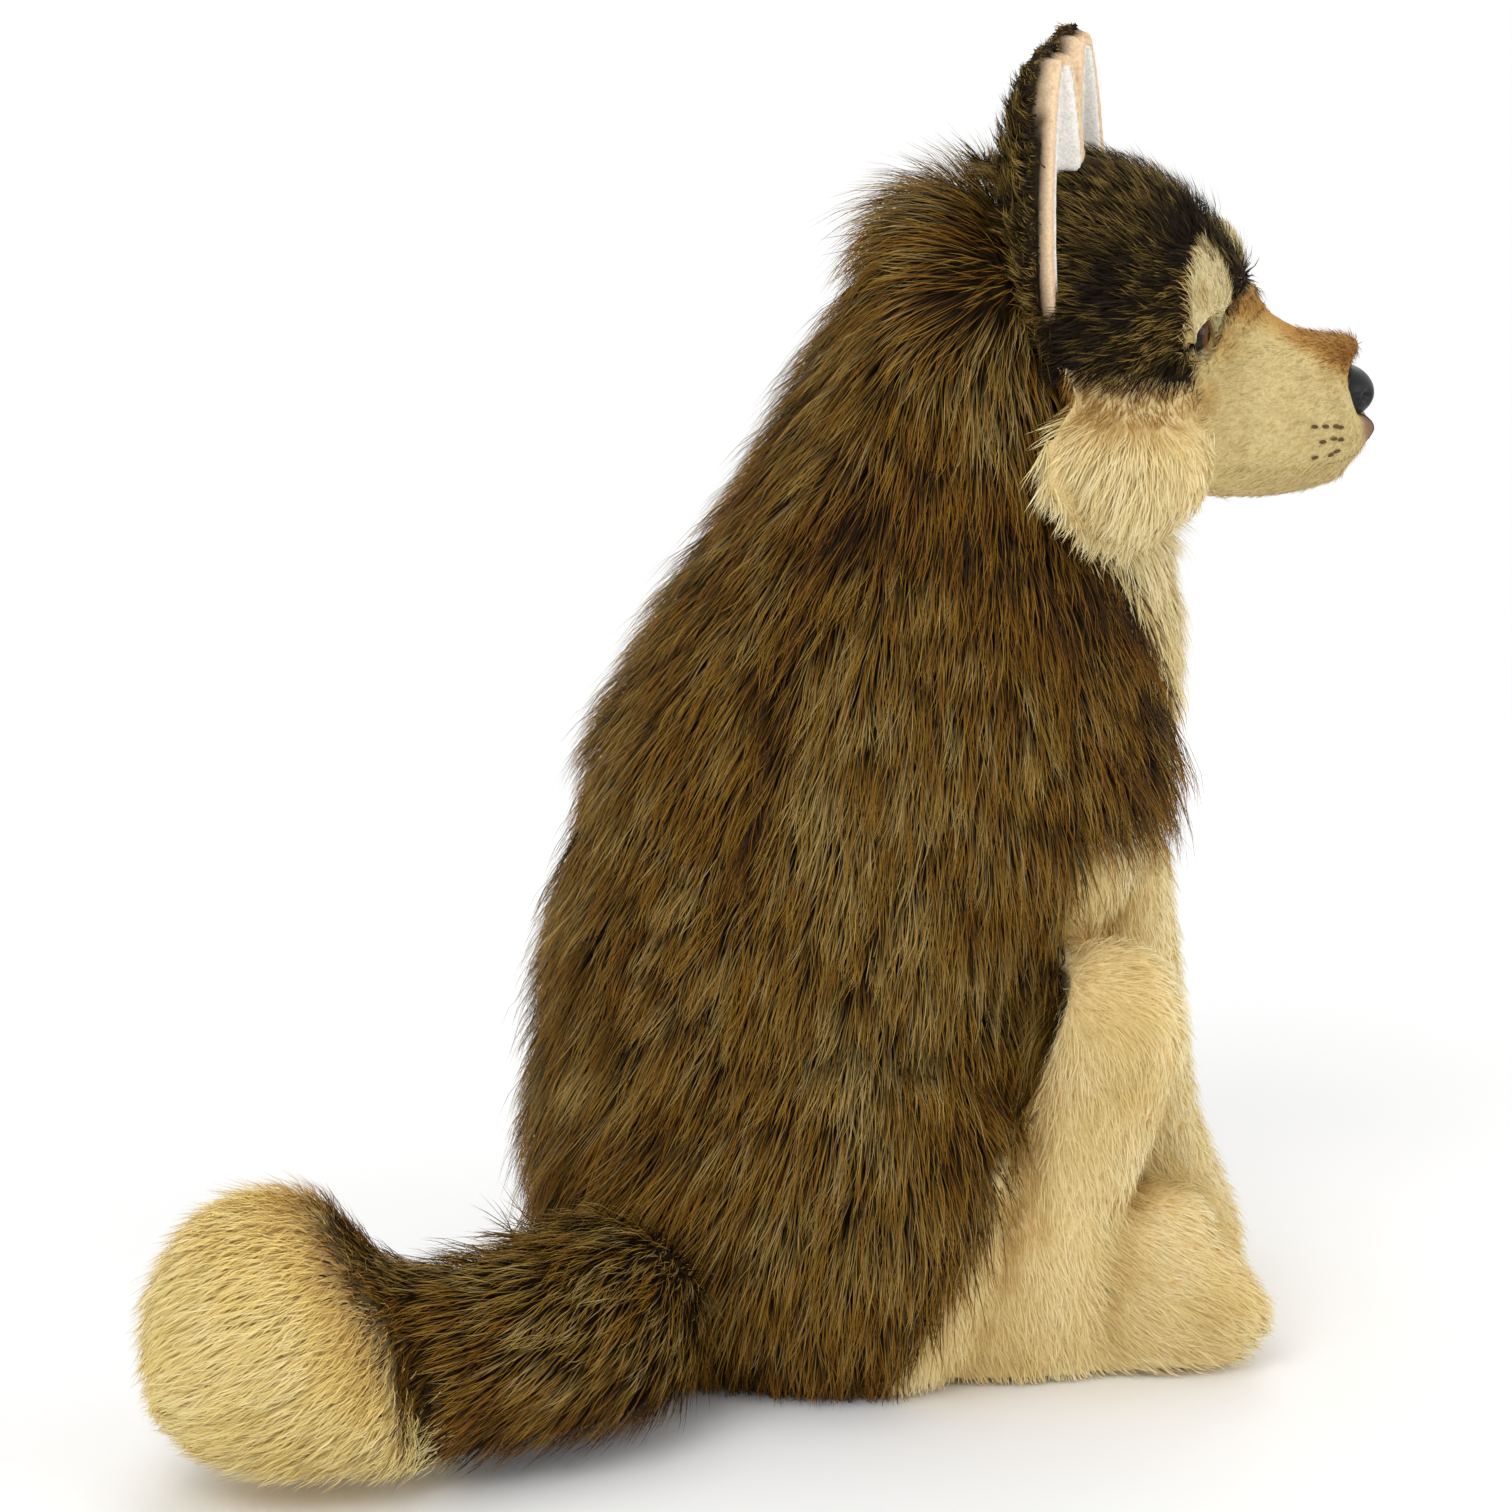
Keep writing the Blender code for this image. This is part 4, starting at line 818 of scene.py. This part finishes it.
head_hide = hide_over("head_hide", HEAD_NODES, HEAD_VOXEL, HEAD_EASE)
spots, facing = read(head_hide.data, "co"), read(head_hide.data, "normal")
ahead, left, up = in_head(spots).T
out = np.abs(left)
muzzle_edge = np.interp(up, MUZZLE_EDGE_UPS, MUZZLE_EDGE_FORES, right=BEYOND)
leaf_rear_edge = np.interp(up, LEAF_UPS, LEAF_REARS, BEYOND, BEYOND)
leaf_front_edge = np.interp(up, LEAF_UPS, LEAF_FRONTS, 0.0, 0.0)
over_cap_edge = up - np.interp(ahead, CAP_EDGE_FORES, CAP_EDGE_UPS)
face_share = ramp(ahead - muzzle_edge, -FACE_BLUR, FACE_BLUR)
leaf_share = (
    ramp(ahead - leaf_rear_edge, -FACE_BLUR, FACE_BLUR) * ramp(leaf_front_edge - ahead, -FACE_BLUR, FACE_BLUR)
)
leaf_top = sum(((value - m) / r) ** 2 for value, m, r in zip((out, up), LEAF_TOP_AT, LEAF_TOP_REACH))
leaf_top = ramp(leaf_top, *LEAF_TOP_EDGE) * ramp(ahead, *LEAF_TOP_AHEAD)
leaf_share = np.maximum(leaf_share, leaf_top) * (1 - face_share)
leaf_share = leaf_share * ramp(out + LEAF_OUT_RIGHT * (left < 0), *LEAF_OUT)
cap_share = np.maximum(ramp(over_cap_edge, -FACE_BLUR, FACE_BLUR), ramp(ahead, *CAP_ALL_BEHIND))
cap_share = cap_share * (1 - face_share) * (1 - leaf_share)
cheek_share = (1 - cap_share) * (1 - face_share) * (1 - leaf_share)
bridge = ramp(up - np.interp(ahead, BRIDGE_FORES, BRIDGE_UPS), *BRIDGE_EDGE)
face_tone = FACE_TONE + BRIDGE_TONE * bridge
face_tone = face_tone + sum(tone * soft_spot((ahead, up), middle, reach) for middle, reach, tone in FACE_SPOTS)
leaf_rear = ramp(ahead - np.interp(up, LEAF_UPS, LEAF_REARS), *LEAF_REAR_EDGE)
leaf_tone = LEAF_TONE + LEAF_REAR_TONE * leaf_rear + LEAF_SPOT[2] * soft_spot((ahead, up), *LEAF_SPOT[:2])
from_eye = np.linalg.norm(np.c_[ahead, out, up] - EYE_AT, axis=1) / EYE_RADIUS
lashes = ramp(from_eye, *LASH_REACH) * ramp(ahead, *LASH_AHEAD)
face_tone = mix(mix(face_tone, leaf_tone, leaf_share), LASH_TONE + 0 * up, LASH_STRENGTH * lashes)
lips = soft_spot((left, up), LIPS_AT, LIPS_REACH, power=2) * ramp(ahead, *LIPS_AHEAD)

narrow = TO_NOSE * ramp(ahead, *TO_NOSE_AHEAD) + TO_CHIN * ramp(up, *TO_CHIN_UP) * ramp(ahead, *TO_CHIN_AHEAD)
spots = spots - (left * narrow)[:, None] * head_left
for middle, reach, push in SWELLS:
    spots = spots + soft_spot((ahead, left, up), middle, reach)[:, None] * (np.array(push) @ head_axes)
rear_low = ramp(ahead, *REAR_LOW_AHEAD) * ramp(up, *REAR_LOW_UP)
sunk = FACE_SINK + (CAP_SINK - FACE_SINK) * cap_share + REAR_LOW_SINK * rear_low * cheek_share
sunk = sunk + (CHEEK_SINK - FACE_SINK) * cheek_share * ramp(ahead, *CHEEK_AHEAD)
place(head_hide.data, spots - facing * sunk[:, None])
stops, colours = zip(*FACE_TONES)
tint = np.array([np.interp(face_tone, stops, channel) for channel in zip(*colours)]).T
tint = mix(mix(tint, np.array(CAP_SKIN), cap_share), np.array(CREAM_SKIN), cheek_share)
paint(head_hide, mix(tint, np.array(LIP_SKIN), LIP_STRENGTH * lips))
head_hide.data.materials.append(hide_finish("head backing", grain=1200.0, roughness=0.85))
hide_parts(*HEAD_NODES)
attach(head_hide, "root")

CAP_TONES = (
    (0.00, (0.008, 0.005, 0.003)),
    (0.30, (0.024, 0.014, 0.005)),
    (0.52, (0.090, 0.054, 0.010)),
    (0.78, (0.290, 0.185, 0.038)),
    (1.00, (0.420, 0.270, 0.080)),
)
CAP_ROOT, FACE_ROOT = (0.007, 0.004, 0.002), (0.450, 0.330, 0.130)
CAP_PILE = (1200000.0, 0.00019, 0.42, 0.22, 0.0030, 0.55, 0.30, 0.5, 0.4, 0.0, 0.45, 0.010, 0.5)
CHEEK_PILE = (1000000.0, 0.00021, 0.32, 0.13, 0.0060, 0.50, 0.14, 0.12, 0.4, 0.04, 0.25, 0.012, 0.3)
FACE_PILE = (2200000.0, 0.00016, 0.22, 0.25, 0.0020, 0.25, 0.2, 0.08, 0.3, 0.0, 0.26, 0.008, 0.15)
# The cap lies away from the brow, with dark spots and a dark lower edge, and is shorter beside the leaves
CAP_FROM_AHEAD, CAP_FROM_UP, CAP_OUTWARD = 0.062, 0.002, 0.35
CAP_TONE, CAP_SPOT_TONE, CAP_EDGE_TONE, CAP_EDGE_DARK = 0.58, -0.52, -0.3, (0.006, 0.001)
CAP_SPOTS = (
    # middle as ahead and up, and reach
    ((0.0294, 0.002), 0.00849), ((0.0160, -0.012), 0.00849),
    ((0.0487, 0.017), 0.00707), ((0.0480, -0.024), 0.00707),
)
CAP_MOST, CAP_BROW_SHORTER, CAP_BROW_AHEAD, CAP_BROW_OUT = 1.15, 0.55, (0.035, 0.055), (0.008, 0.018)
# The cheek fans back behind and hangs down in front. It is short and brown at its top edge
CHEEK_FORES, CHEEK_LEANS, CHEEK_OUTWARD = (0.0, 0.03, 0.055), (-0.8, -0.30, 0.05), 0.15
TOP_EDGE, TOP_SHORTER, REAR_SHORTER, CHEEK_FRONT_SHORT = (-0.0135, -0.0015), 0.60, 0.40, 0.35
CHEEK_FRONT_AHEAD, CHEEK_TONE, TOP_EDGE_TONE = (0.040, 0.056), 0.78, -0.90
# The face lies back and down, the leaves up, as ahead, outward and up
FACE_LIE, LEAF_LIE, LEAF_LONGER = (-1.0, 0.0, -0.45), (-0.3, 0.2, 0.9), 0.5

cap_finish = pile_finish("cap pile", CAP_TONES, CAP_ROOT, root_share=0.85, roughness=0.6)
cap_way = np.c_[ahead - CAP_FROM_AHEAD, CAP_OUTWARD * left, up - CAP_FROM_UP] @ head_axes
dark_spots = sum(soft_spot((ahead, up), middle, (reach, reach)) for middle, reach in CAP_SPOTS)
edge_dark = ramp(over_cap_edge, *CAP_EDGE_DARK)
grow(
    "cap_pile", head_hide, short_strand, cap_finish, cap_share,
    CAP_LENGTH * (CAP_MOST - CAP_BROW_SHORTER * ramp(ahead, *CAP_BROW_AHEAD) * ramp(out, *CAP_BROW_OUT)),
    along_surface(cap_way, facing),
    CAP_TONE + CAP_SPOT_TONE * np.minimum(dark_spots, 1) + CAP_EDGE_TONE * edge_dark, CAP_PILE, seed=51,
)
cheek_way = np.c_[np.interp(ahead, CHEEK_FORES, CHEEK_LEANS), CHEEK_OUTWARD * np.sign(left), -1 + 0 * up]
top_edge = ramp(over_cap_edge, *TOP_EDGE)
cheek_length = CHEEK_LENGTH * mix(1.0, CHEEK_FRONT_SHORT, ramp(ahead, *CHEEK_FRONT_AHEAD))
grow(
    "cheek_pile", head_hide, long_strand, cream_finish, cheek_share,
    cheek_length * (1 - TOP_SHORTER * top_edge) * (1 - REAR_SHORTER * rear_low),
    along_surface(cheek_way @ head_axes, facing), CHEEK_TONE + TOP_EDGE_TONE * top_edge, CHEEK_PILE, seed=61,
)
face_finish = pile_finish("face pile", FACE_TONES, FACE_ROOT, root_share=0.4, roughness=0.7)
leaf_way = np.c_[LEAF_LIE[0] + 0 * up, LEAF_LIE[1] * np.sign(left), LEAF_LIE[2] + 0 * up]
face_way = mix(np.tile(FACE_LIE, (len(up), 1)), leaf_way, leaf_share)
nose_bed = soft_spot((left, up), NOSE_BED_AT, NOSE_BED_REACH, power=2) * ramp(ahead, *NOSE_BED_AHEAD)
grow(
    "face_pile", head_hide, short_strand, face_finish,
    np.maximum(face_share, leaf_share) * ((1 - lips) * (1 - nose_bed)),
    FACE_LENGTH * (1 + LEAF_LONGER * leaf_share),
    along_surface(face_way @ head_axes, facing), face_tone, FACE_PILE, seed=65,
)

# Ears
# Each ear is a stiff upright cup: dark pile on its back, a pale lining folded over the rim, and a peach tint
# on that rim. The lower part of each ear is tucked in towards the skull.
EAR_VOXEL, EAR_EASE = 0.0011, 4
EAR_LENGTH, EAR_SINK, EAR_FORWARD, FRONT_FORWARD = 0.0070, 0.0012, 0.0022, 0.0022
LINING_SKIN, RIM_SKIN = (0.950, 0.920, 0.860), (0.880, 0.640, 0.410)
LINING_EDGE, RIM_WIDTH, RIM_FACES, RIM_TOP = (0.0006, -0.0006), (0.0045, 0.0035), (-0.5, -0.2), (0.75, 0.5)
TUCK, TUCK_UP = 0.0100, (0.022, -0.012)
BY_RIM, BARE_BY_RIM, BY_RIM_SHORTER = (0.008, 0.001), (0.0008, 0.0020), 0.6
EAR_TIP_SHORTER, EAR_TIP_UP, EAR_TONE = 0.45, (0.045, 0.066), 0.54
# The lie of its pile as ahead, out and up, and how it turns by the rim as ahead and up
EAR_LIE, BY_RIM_TURN = (-0.60, 0.20, 1.0), (-1.6, -0.5)
EAR_PILE = (1500000.0, 0.00024, 0.5, 0.2, 0.0035, 0.55, 0.30, 0.5, 0.5, 0.0, 0.5, 0.015, 0.4)


def distance_from(points, node):
    """How far each point lies from the surface of this CAD node."""
    work = joined([node])
    tree = BVHTree.FromBMesh(work)
    work.free()
    return np.array([tree.find_nearest(Vector(point))[3] for point in points])


for side, label in ((-1, "right"), (1, "left")):
    ear_hide = hide_over("ear_hide_" + label, ("ear_" + label, "ear_lining_" + label), EAR_VOXEL, EAR_EASE)
    spots, facing = read(ear_hide.data, "co"), read(ear_hide.data, "normal")
    up = in_head(spots)[:, 2]
    from_lining = distance_from(spots, "ear_lining_" + label)
    from_shell = distance_from(spots, "ear_" + label)
    lining_share = ramp(from_lining - from_shell, *LINING_EDGE)
    rim_share = (1 - lining_share) * ramp(from_lining, *RIM_WIDTH) * ramp(facing @ head_fore, *RIM_FACES)
    rim_share = rim_share * ramp(facing[:, 2], *RIM_TOP)
    back_share = 1 - np.maximum(lining_share, rim_share)
    moved = np.outer(EAR_FORWARD + FRONT_FORWARD * (1 - back_share), head_fore)
    place(ear_hide.data, spots - facing * (EAR_SINK * back_share)[:, None] + moved)
    tint = mix(np.tile(CAP_SKIN, (len(spots), 1)), np.array(LINING_SKIN), lining_share)
    paint(ear_hide, mix(tint, np.array(RIM_SKIN), rim_share))
    ear_hide.data.materials.append(head_hide.data.materials[0])
    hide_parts("ear_" + label, "ear_lining_" + label)
    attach(ear_hide, "root")
    tucked = TUCK * ramp(up, *TUCK_UP)[:, None] ** 2
    place(ear_hide.data, read(ear_hide.data, "co") - tucked * side * head_left)
    rim_points = spots[rim_share > 0.5]
    rim = KDTree(len(rim_points))
    for index, point in enumerate(rim_points):
        rim.insert(point, index)
    rim.balance()
    from_rim = np.array([rim.find(point)[2] for point in spots])
    by_rim = ramp(from_rim, *BY_RIM)
    ear_guide = np.c_[
        EAR_LIE[0] + BY_RIM_TURN[0] * by_rim, EAR_LIE[1] * side + 0 * up, EAR_LIE[2] + BY_RIM_TURN[1] * by_rim
    ]
    grow(
        "ear_pile_" + label, ear_hide, short_strand, cap_finish,
        back_share * ramp(from_rim, *BARE_BY_RIM),
        EAR_LENGTH * (1 - EAR_TIP_SHORTER * ramp(up, *EAR_TIP_UP)) * (1 - BY_RIM_SHORTER * by_rim),
        along_surface(ear_guide @ head_axes, facing), EAR_TONE + 0 * up, EAR_PILE, seed=71 + side,
    )

# Nose and mouth
# A moulded satin nose with two nostrils is pressed into the front of the muzzle. Below it run a sewn mouth line
# and rows of small dark whisker dots.
NOSE_AT, NOSE_HALVES = (0.0890, 0.0, -0.0300), (0.0094, 0.0102, 0.0076)
NOSE_LEAN, NOSE_TAPER = math.radians(-12.0), 0.20
NOSE_DENTS = (
    # direction from the middle of the nose, reach and depth: the nostril, and its slit
    ((0.80, 0.46, 0.10), 0.20, 0.30),
    ((0.55, 0.80, -0.05), 0.16, 0.16),
)
GROOVE_DEPTH, GROOVE_HALF, GROOVE_BELOW = 0.10, 0.07, (0.0, -0.4)
MOUTH_LINE = (
    (0.0940, 0.0, -0.0375), (0.0985, 0.0, -0.0410), (0.0960, 0.0, -0.0450), (0.0950, 0.0050, -0.0475),
    (0.0920, 0.0115, -0.0470), (0.0870, 0.0180, -0.0480),
)
MOUTH_STEPS, THREAD_RADIUS, THREAD_RAISE, THREAD_SIDES, THREAD_TAPER = 60, 0.00040, -0.0001, 8, 0.7
WHISKERS = (
    (0.0836, -0.0367), (0.0871, -0.0364), (0.0911, -0.0363), (0.0935, -0.0366),
    (0.0862, -0.0413), (0.0900, -0.0405), (0.0939, -0.0408),
    (0.0839, -0.0461), (0.0892, -0.0457), (0.0924, -0.0454),
)
WHISKER_OUT, WHISKER_RADIUS, WHISKER_RAISE, WHISKER_SHAPE = 0.022, 0.00058, 0.0004, (1.9, 1.0, 0.6, 1)


def moulded(name, colour, roughness, grain, shine=0.2):
    """Moulded plastic or thread of one colour, with a faint grain in its surface."""
    made, shader, start = new_finish(name, roughness, shine)
    fleck = grained(start, shader, grain, detail=2.0, strength=0.25, depth=0.0002)
    tones = ((0.3, tuple(0.8 * c for c in colour)), (0.7, tuple(1.2 * c for c in colour)))
    start.node("ShaderNodeValToRGB", {"stops": tones}, {"Fac": fleck}).into(shader, "Base Color")
    return made


def from_head(points):
    """Points given ahead, left and up of the middle of the head, in the model's own axes."""
    return np.asarray(points) @ head_axes + HEAD_PIVOT


work = bmesh.new()
bmesh.ops.create_icosphere(work, subdivisions=4, radius=1.0)
nose = made_from("nose_skin", work)
ball = read(nose.data, "co")
pressed = np.zeros(len(ball))
for side in (-1, 1):
    for (a, l, u), reach, depth in NOSE_DENTS:
        where = np.array([a, l * side, u]) / math.sqrt(a * a + l * l + u * u)
        pressed += depth * np.exp(-(np.linalg.norm(ball - where, axis=1) / reach) ** 2)
groove = np.exp(-(ball[:, 1] / GROOVE_HALF) ** 2) * ramp(ball[:, 2], *GROOVE_BELOW) * (ball[:, 0] > 0)
shape = ball * (1 - pressed - GROOVE_DEPTH * groove)[:, None] * np.array(NOSE_HALVES)
shape[:, 1] *= 1 - NOSE_TAPER * ramp(shape[:, 2], 0.0, -NOSE_HALVES[2])
lean_cos, lean_sin = math.cos(NOSE_LEAN), math.sin(NOSE_LEAN)
lean = np.array([(lean_cos, 0, lean_sin), (0, 1, 0), (-lean_sin, 0, lean_cos)])
place(nose.data, from_head(shape @ lean + np.array(NOSE_AT)))
nose.data.shade_smooth()
satin = moulded("satin black", (0.004, 0.004, 0.005), roughness=0.40, grain=1500.0, shine=0.25)
nose.data.materials.append(satin)
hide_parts("nose")
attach(nose, "root")

work = bmesh.new()
work.from_mesh(head_hide.data)
face_surface = BVHTree.FromBMesh(work)
work.free()


def on_face(ahead_of, left_of, up_of):
    """The nearest point of the head's hide, and the way it faces."""
    return face_surface.find_nearest(Vector(from_head((ahead_of, left_of, up_of))))[:2]


def bridge_rings(work, near, far):
    """Faces between two rings of points, as a list of (face, numbers of its corners on the ring)."""
    count = len(near)
    return [
        (work.faces.new((near[k], far[k], far[(k + 1) % count], near[(k + 1) % count])), (k, (k + 1) % count))
        for k in range(count)
    ]


work = bmesh.new()
for side in (-1, 1):
    rows = np.array([(a, l * side, u) for a, l, u in MOUTH_LINE])
    steps = np.linspace(0, len(rows) - 1, MOUTH_STEPS)
    rows = np.array([np.interp(steps, range(len(rows)), rows[:, k]) for k in range(3)]).T
    path = [on_face(*row) for row in rows]
    rings = []
    for index, (spot, normal) in enumerate(path):
        tangent = (path[min(index + 1, len(path) - 1)][0] - path[max(index - 1, 0)][0]).normalized()
        across = tangent.cross(normal).normalized()
        radius = THREAD_RADIUS * (1.0 - THREAD_TAPER * index / len(path))
        turns = np.linspace(0, 2 * math.pi, THREAD_SIDES, endpoint=False)
        spot = spot + normal * THREAD_RAISE
        rings.append([
            work.verts.new(spot + (normal * math.sin(t) + across * math.cos(t)) * radius) for t in turns
        ])
    for near, far in zip(rings, rings[1:]):
        bridge_rings(work, near, far)
    work.faces.new(rings[-1])
    work.faces.new(rings[0])
bmesh.ops.recalc_face_normals(work, faces=work.faces)
mouth = made_from("mouth_line", work)
mouth.data.shade_smooth()
mouth.data.materials.append(moulded("mouth thread", (0.130, 0.055, 0.040), roughness=0.8, grain=2500.0))
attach(mouth, "root")

work = bmesh.new()
for a, u in WHISKERS:
    for side in (-1, 1):
        spot, normal = on_face(a, WHISKER_OUT * side, u)
        along = (Vector(head_fore) - normal * normal.dot(Vector(head_fore))).normalized()
        turn = Matrix((along, normal.cross(along), normal)).transposed().to_4x4()
        set_in = Matrix.Translation(spot + normal * WHISKER_RAISE) @ turn @ Matrix.Diagonal(WHISKER_SHAPE)
        bmesh.ops.create_icosphere(work, subdivisions=2, radius=WHISKER_RADIUS, matrix=set_in)
dots = made_from("whisker_dots", work)
dots.data.shade_smooth()
dots.data.materials.append(moulded("whisker brown", (0.110, 0.068, 0.030), roughness=0.9, grain=2500.0))
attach(dots, "root")

# Eyes
# Moulded glossy eyes sit in the leaves. Each is a low dome with a black pupil in a dark brown iris, and its rim
# is dark where the fabric ends.
IRIS_TONES = (
    (0.00, (0.003, 0.002, 0.002)),
    (0.24, (0.004, 0.003, 0.002)),
    (0.28, (0.130, 0.050, 0.012)),
    (0.42, (0.080, 0.028, 0.007)),
    (0.50, (0.006, 0.004, 0.003)),
    (1.00, (0.004, 0.003, 0.003)),
)
# A dome of rings, each at a larger angle from the gaze, and the chart that the iris is drawn on
EYE_ROWS, EYE_SIDES, FIRST_ANGLE, ANGLE_SWEEP, EYE_TALLER, CHART_ANGLE = 14, 36, 0.02, 1.75, 1.05, 1.80
STREAK_SCALE, STREAK_DEPTH = 26.0, 0.05

eye_finish, eye_shader, eye_start = new_finish("glossy eye", roughness=0.12, shine=0.22)
chart = eye_start.node("ShaderNodeUVMap", {"uv_map": "OFBake"})
from_pupil = (chart.of("SUBTRACT", (0.5, 0.5, 0.0))).of("LENGTH")
streaks = from_pupil.node("ShaderNodeTexNoise", inputs={"Vector": chart, "Scale": STREAK_SCALE}, output="Fac")
iris_at = from_pupil * 2.0 + (streaks - 0.5) * STREAK_DEPTH
eye_start.node("ShaderNodeValToRGB", {"stops": IRIS_TONES}, {"Fac": iris_at}).into(eye_shader, "Base Color")

for side, label in ((-1, "right"), (1, "left")):
    gaze = np.array([math.cos(EYE_TOE_OUT), side * math.sin(EYE_TOE_OUT), 0.0])
    aside = np.array([-side * math.sin(EYE_TOE_OUT), math.cos(EYE_TOE_OUT), 0.0]) * side
    upright = np.array([0.0, 0.0, EYE_TALLER])
    centre = np.array([EYE_AT[0], side * EYE_AT[1], EYE_AT[2]])
    work = bmesh.new()
    chart_layer = work.loops.layers.uv.new("OFBake")
    rings, ring_charts = [], []
    for row in range(EYE_ROWS + 1):
        angle = FIRST_ANGLE + row / EYE_ROWS * ANGLE_SWEEP
        reach = 0.5 * angle / CHART_ANGLE
        rings.append([])
        ring_charts.append([])
        for k in range(EYE_SIDES):
            turn = 2 * math.pi * k / EYE_SIDES
            sideways = aside * math.cos(turn) + upright * math.sin(turn)
            way = gaze * math.cos(angle) + sideways * math.sin(angle)
            rings[-1].append(work.verts.new(from_head(centre + way * EYE_RADIUS)))
            ring_charts[-1].append((0.5 + reach * math.cos(turn), 0.5 + reach * math.sin(turn)))
    for row in range(EYE_ROWS):
        near_chart, far_chart = ring_charts[row:row + 2]
        for face, (k, j) in bridge_rings(work, rings[row], rings[row + 1]):
            for loop, spot in zip(face.loops, (near_chart[k], far_chart[k], far_chart[j], near_chart[j])):
                loop[chart_layer].uv = spot
    front = work.faces.new(rings[0])
    for loop, spot in zip(front.loops, ring_charts[0]):
        loop[chart_layer].uv = spot
    bmesh.ops.recalc_face_normals(work, faces=work.faces)
    eye = made_from("eye_dome_" + label, work)
    eye.data.shade_smooth()
    eye.data.materials.append(eye_finish)
    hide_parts("eye_" + label)
    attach(eye, "root")

# Washers
# Inside the head, a pale washer locks the stem of each eye and of the nose. They can't be seen.
washer_finish = moulded("washer", (0.620, 0.620, 0.600), roughness=0.5, grain=800.0)
for node in ("nose_washer", "eye_washer_right", "eye_washer_left"):
    washer = linked(node + "_disc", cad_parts[node].data.copy())
    washer.data.materials.clear()
    washer.data.materials.append(washer_finish)
    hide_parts(node)
    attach(washer, "root")

# Closing lines
# The two strands that the piles were made of go.
for strand in (long_strand, short_strand):
    bpy.data.objects.remove(strand)
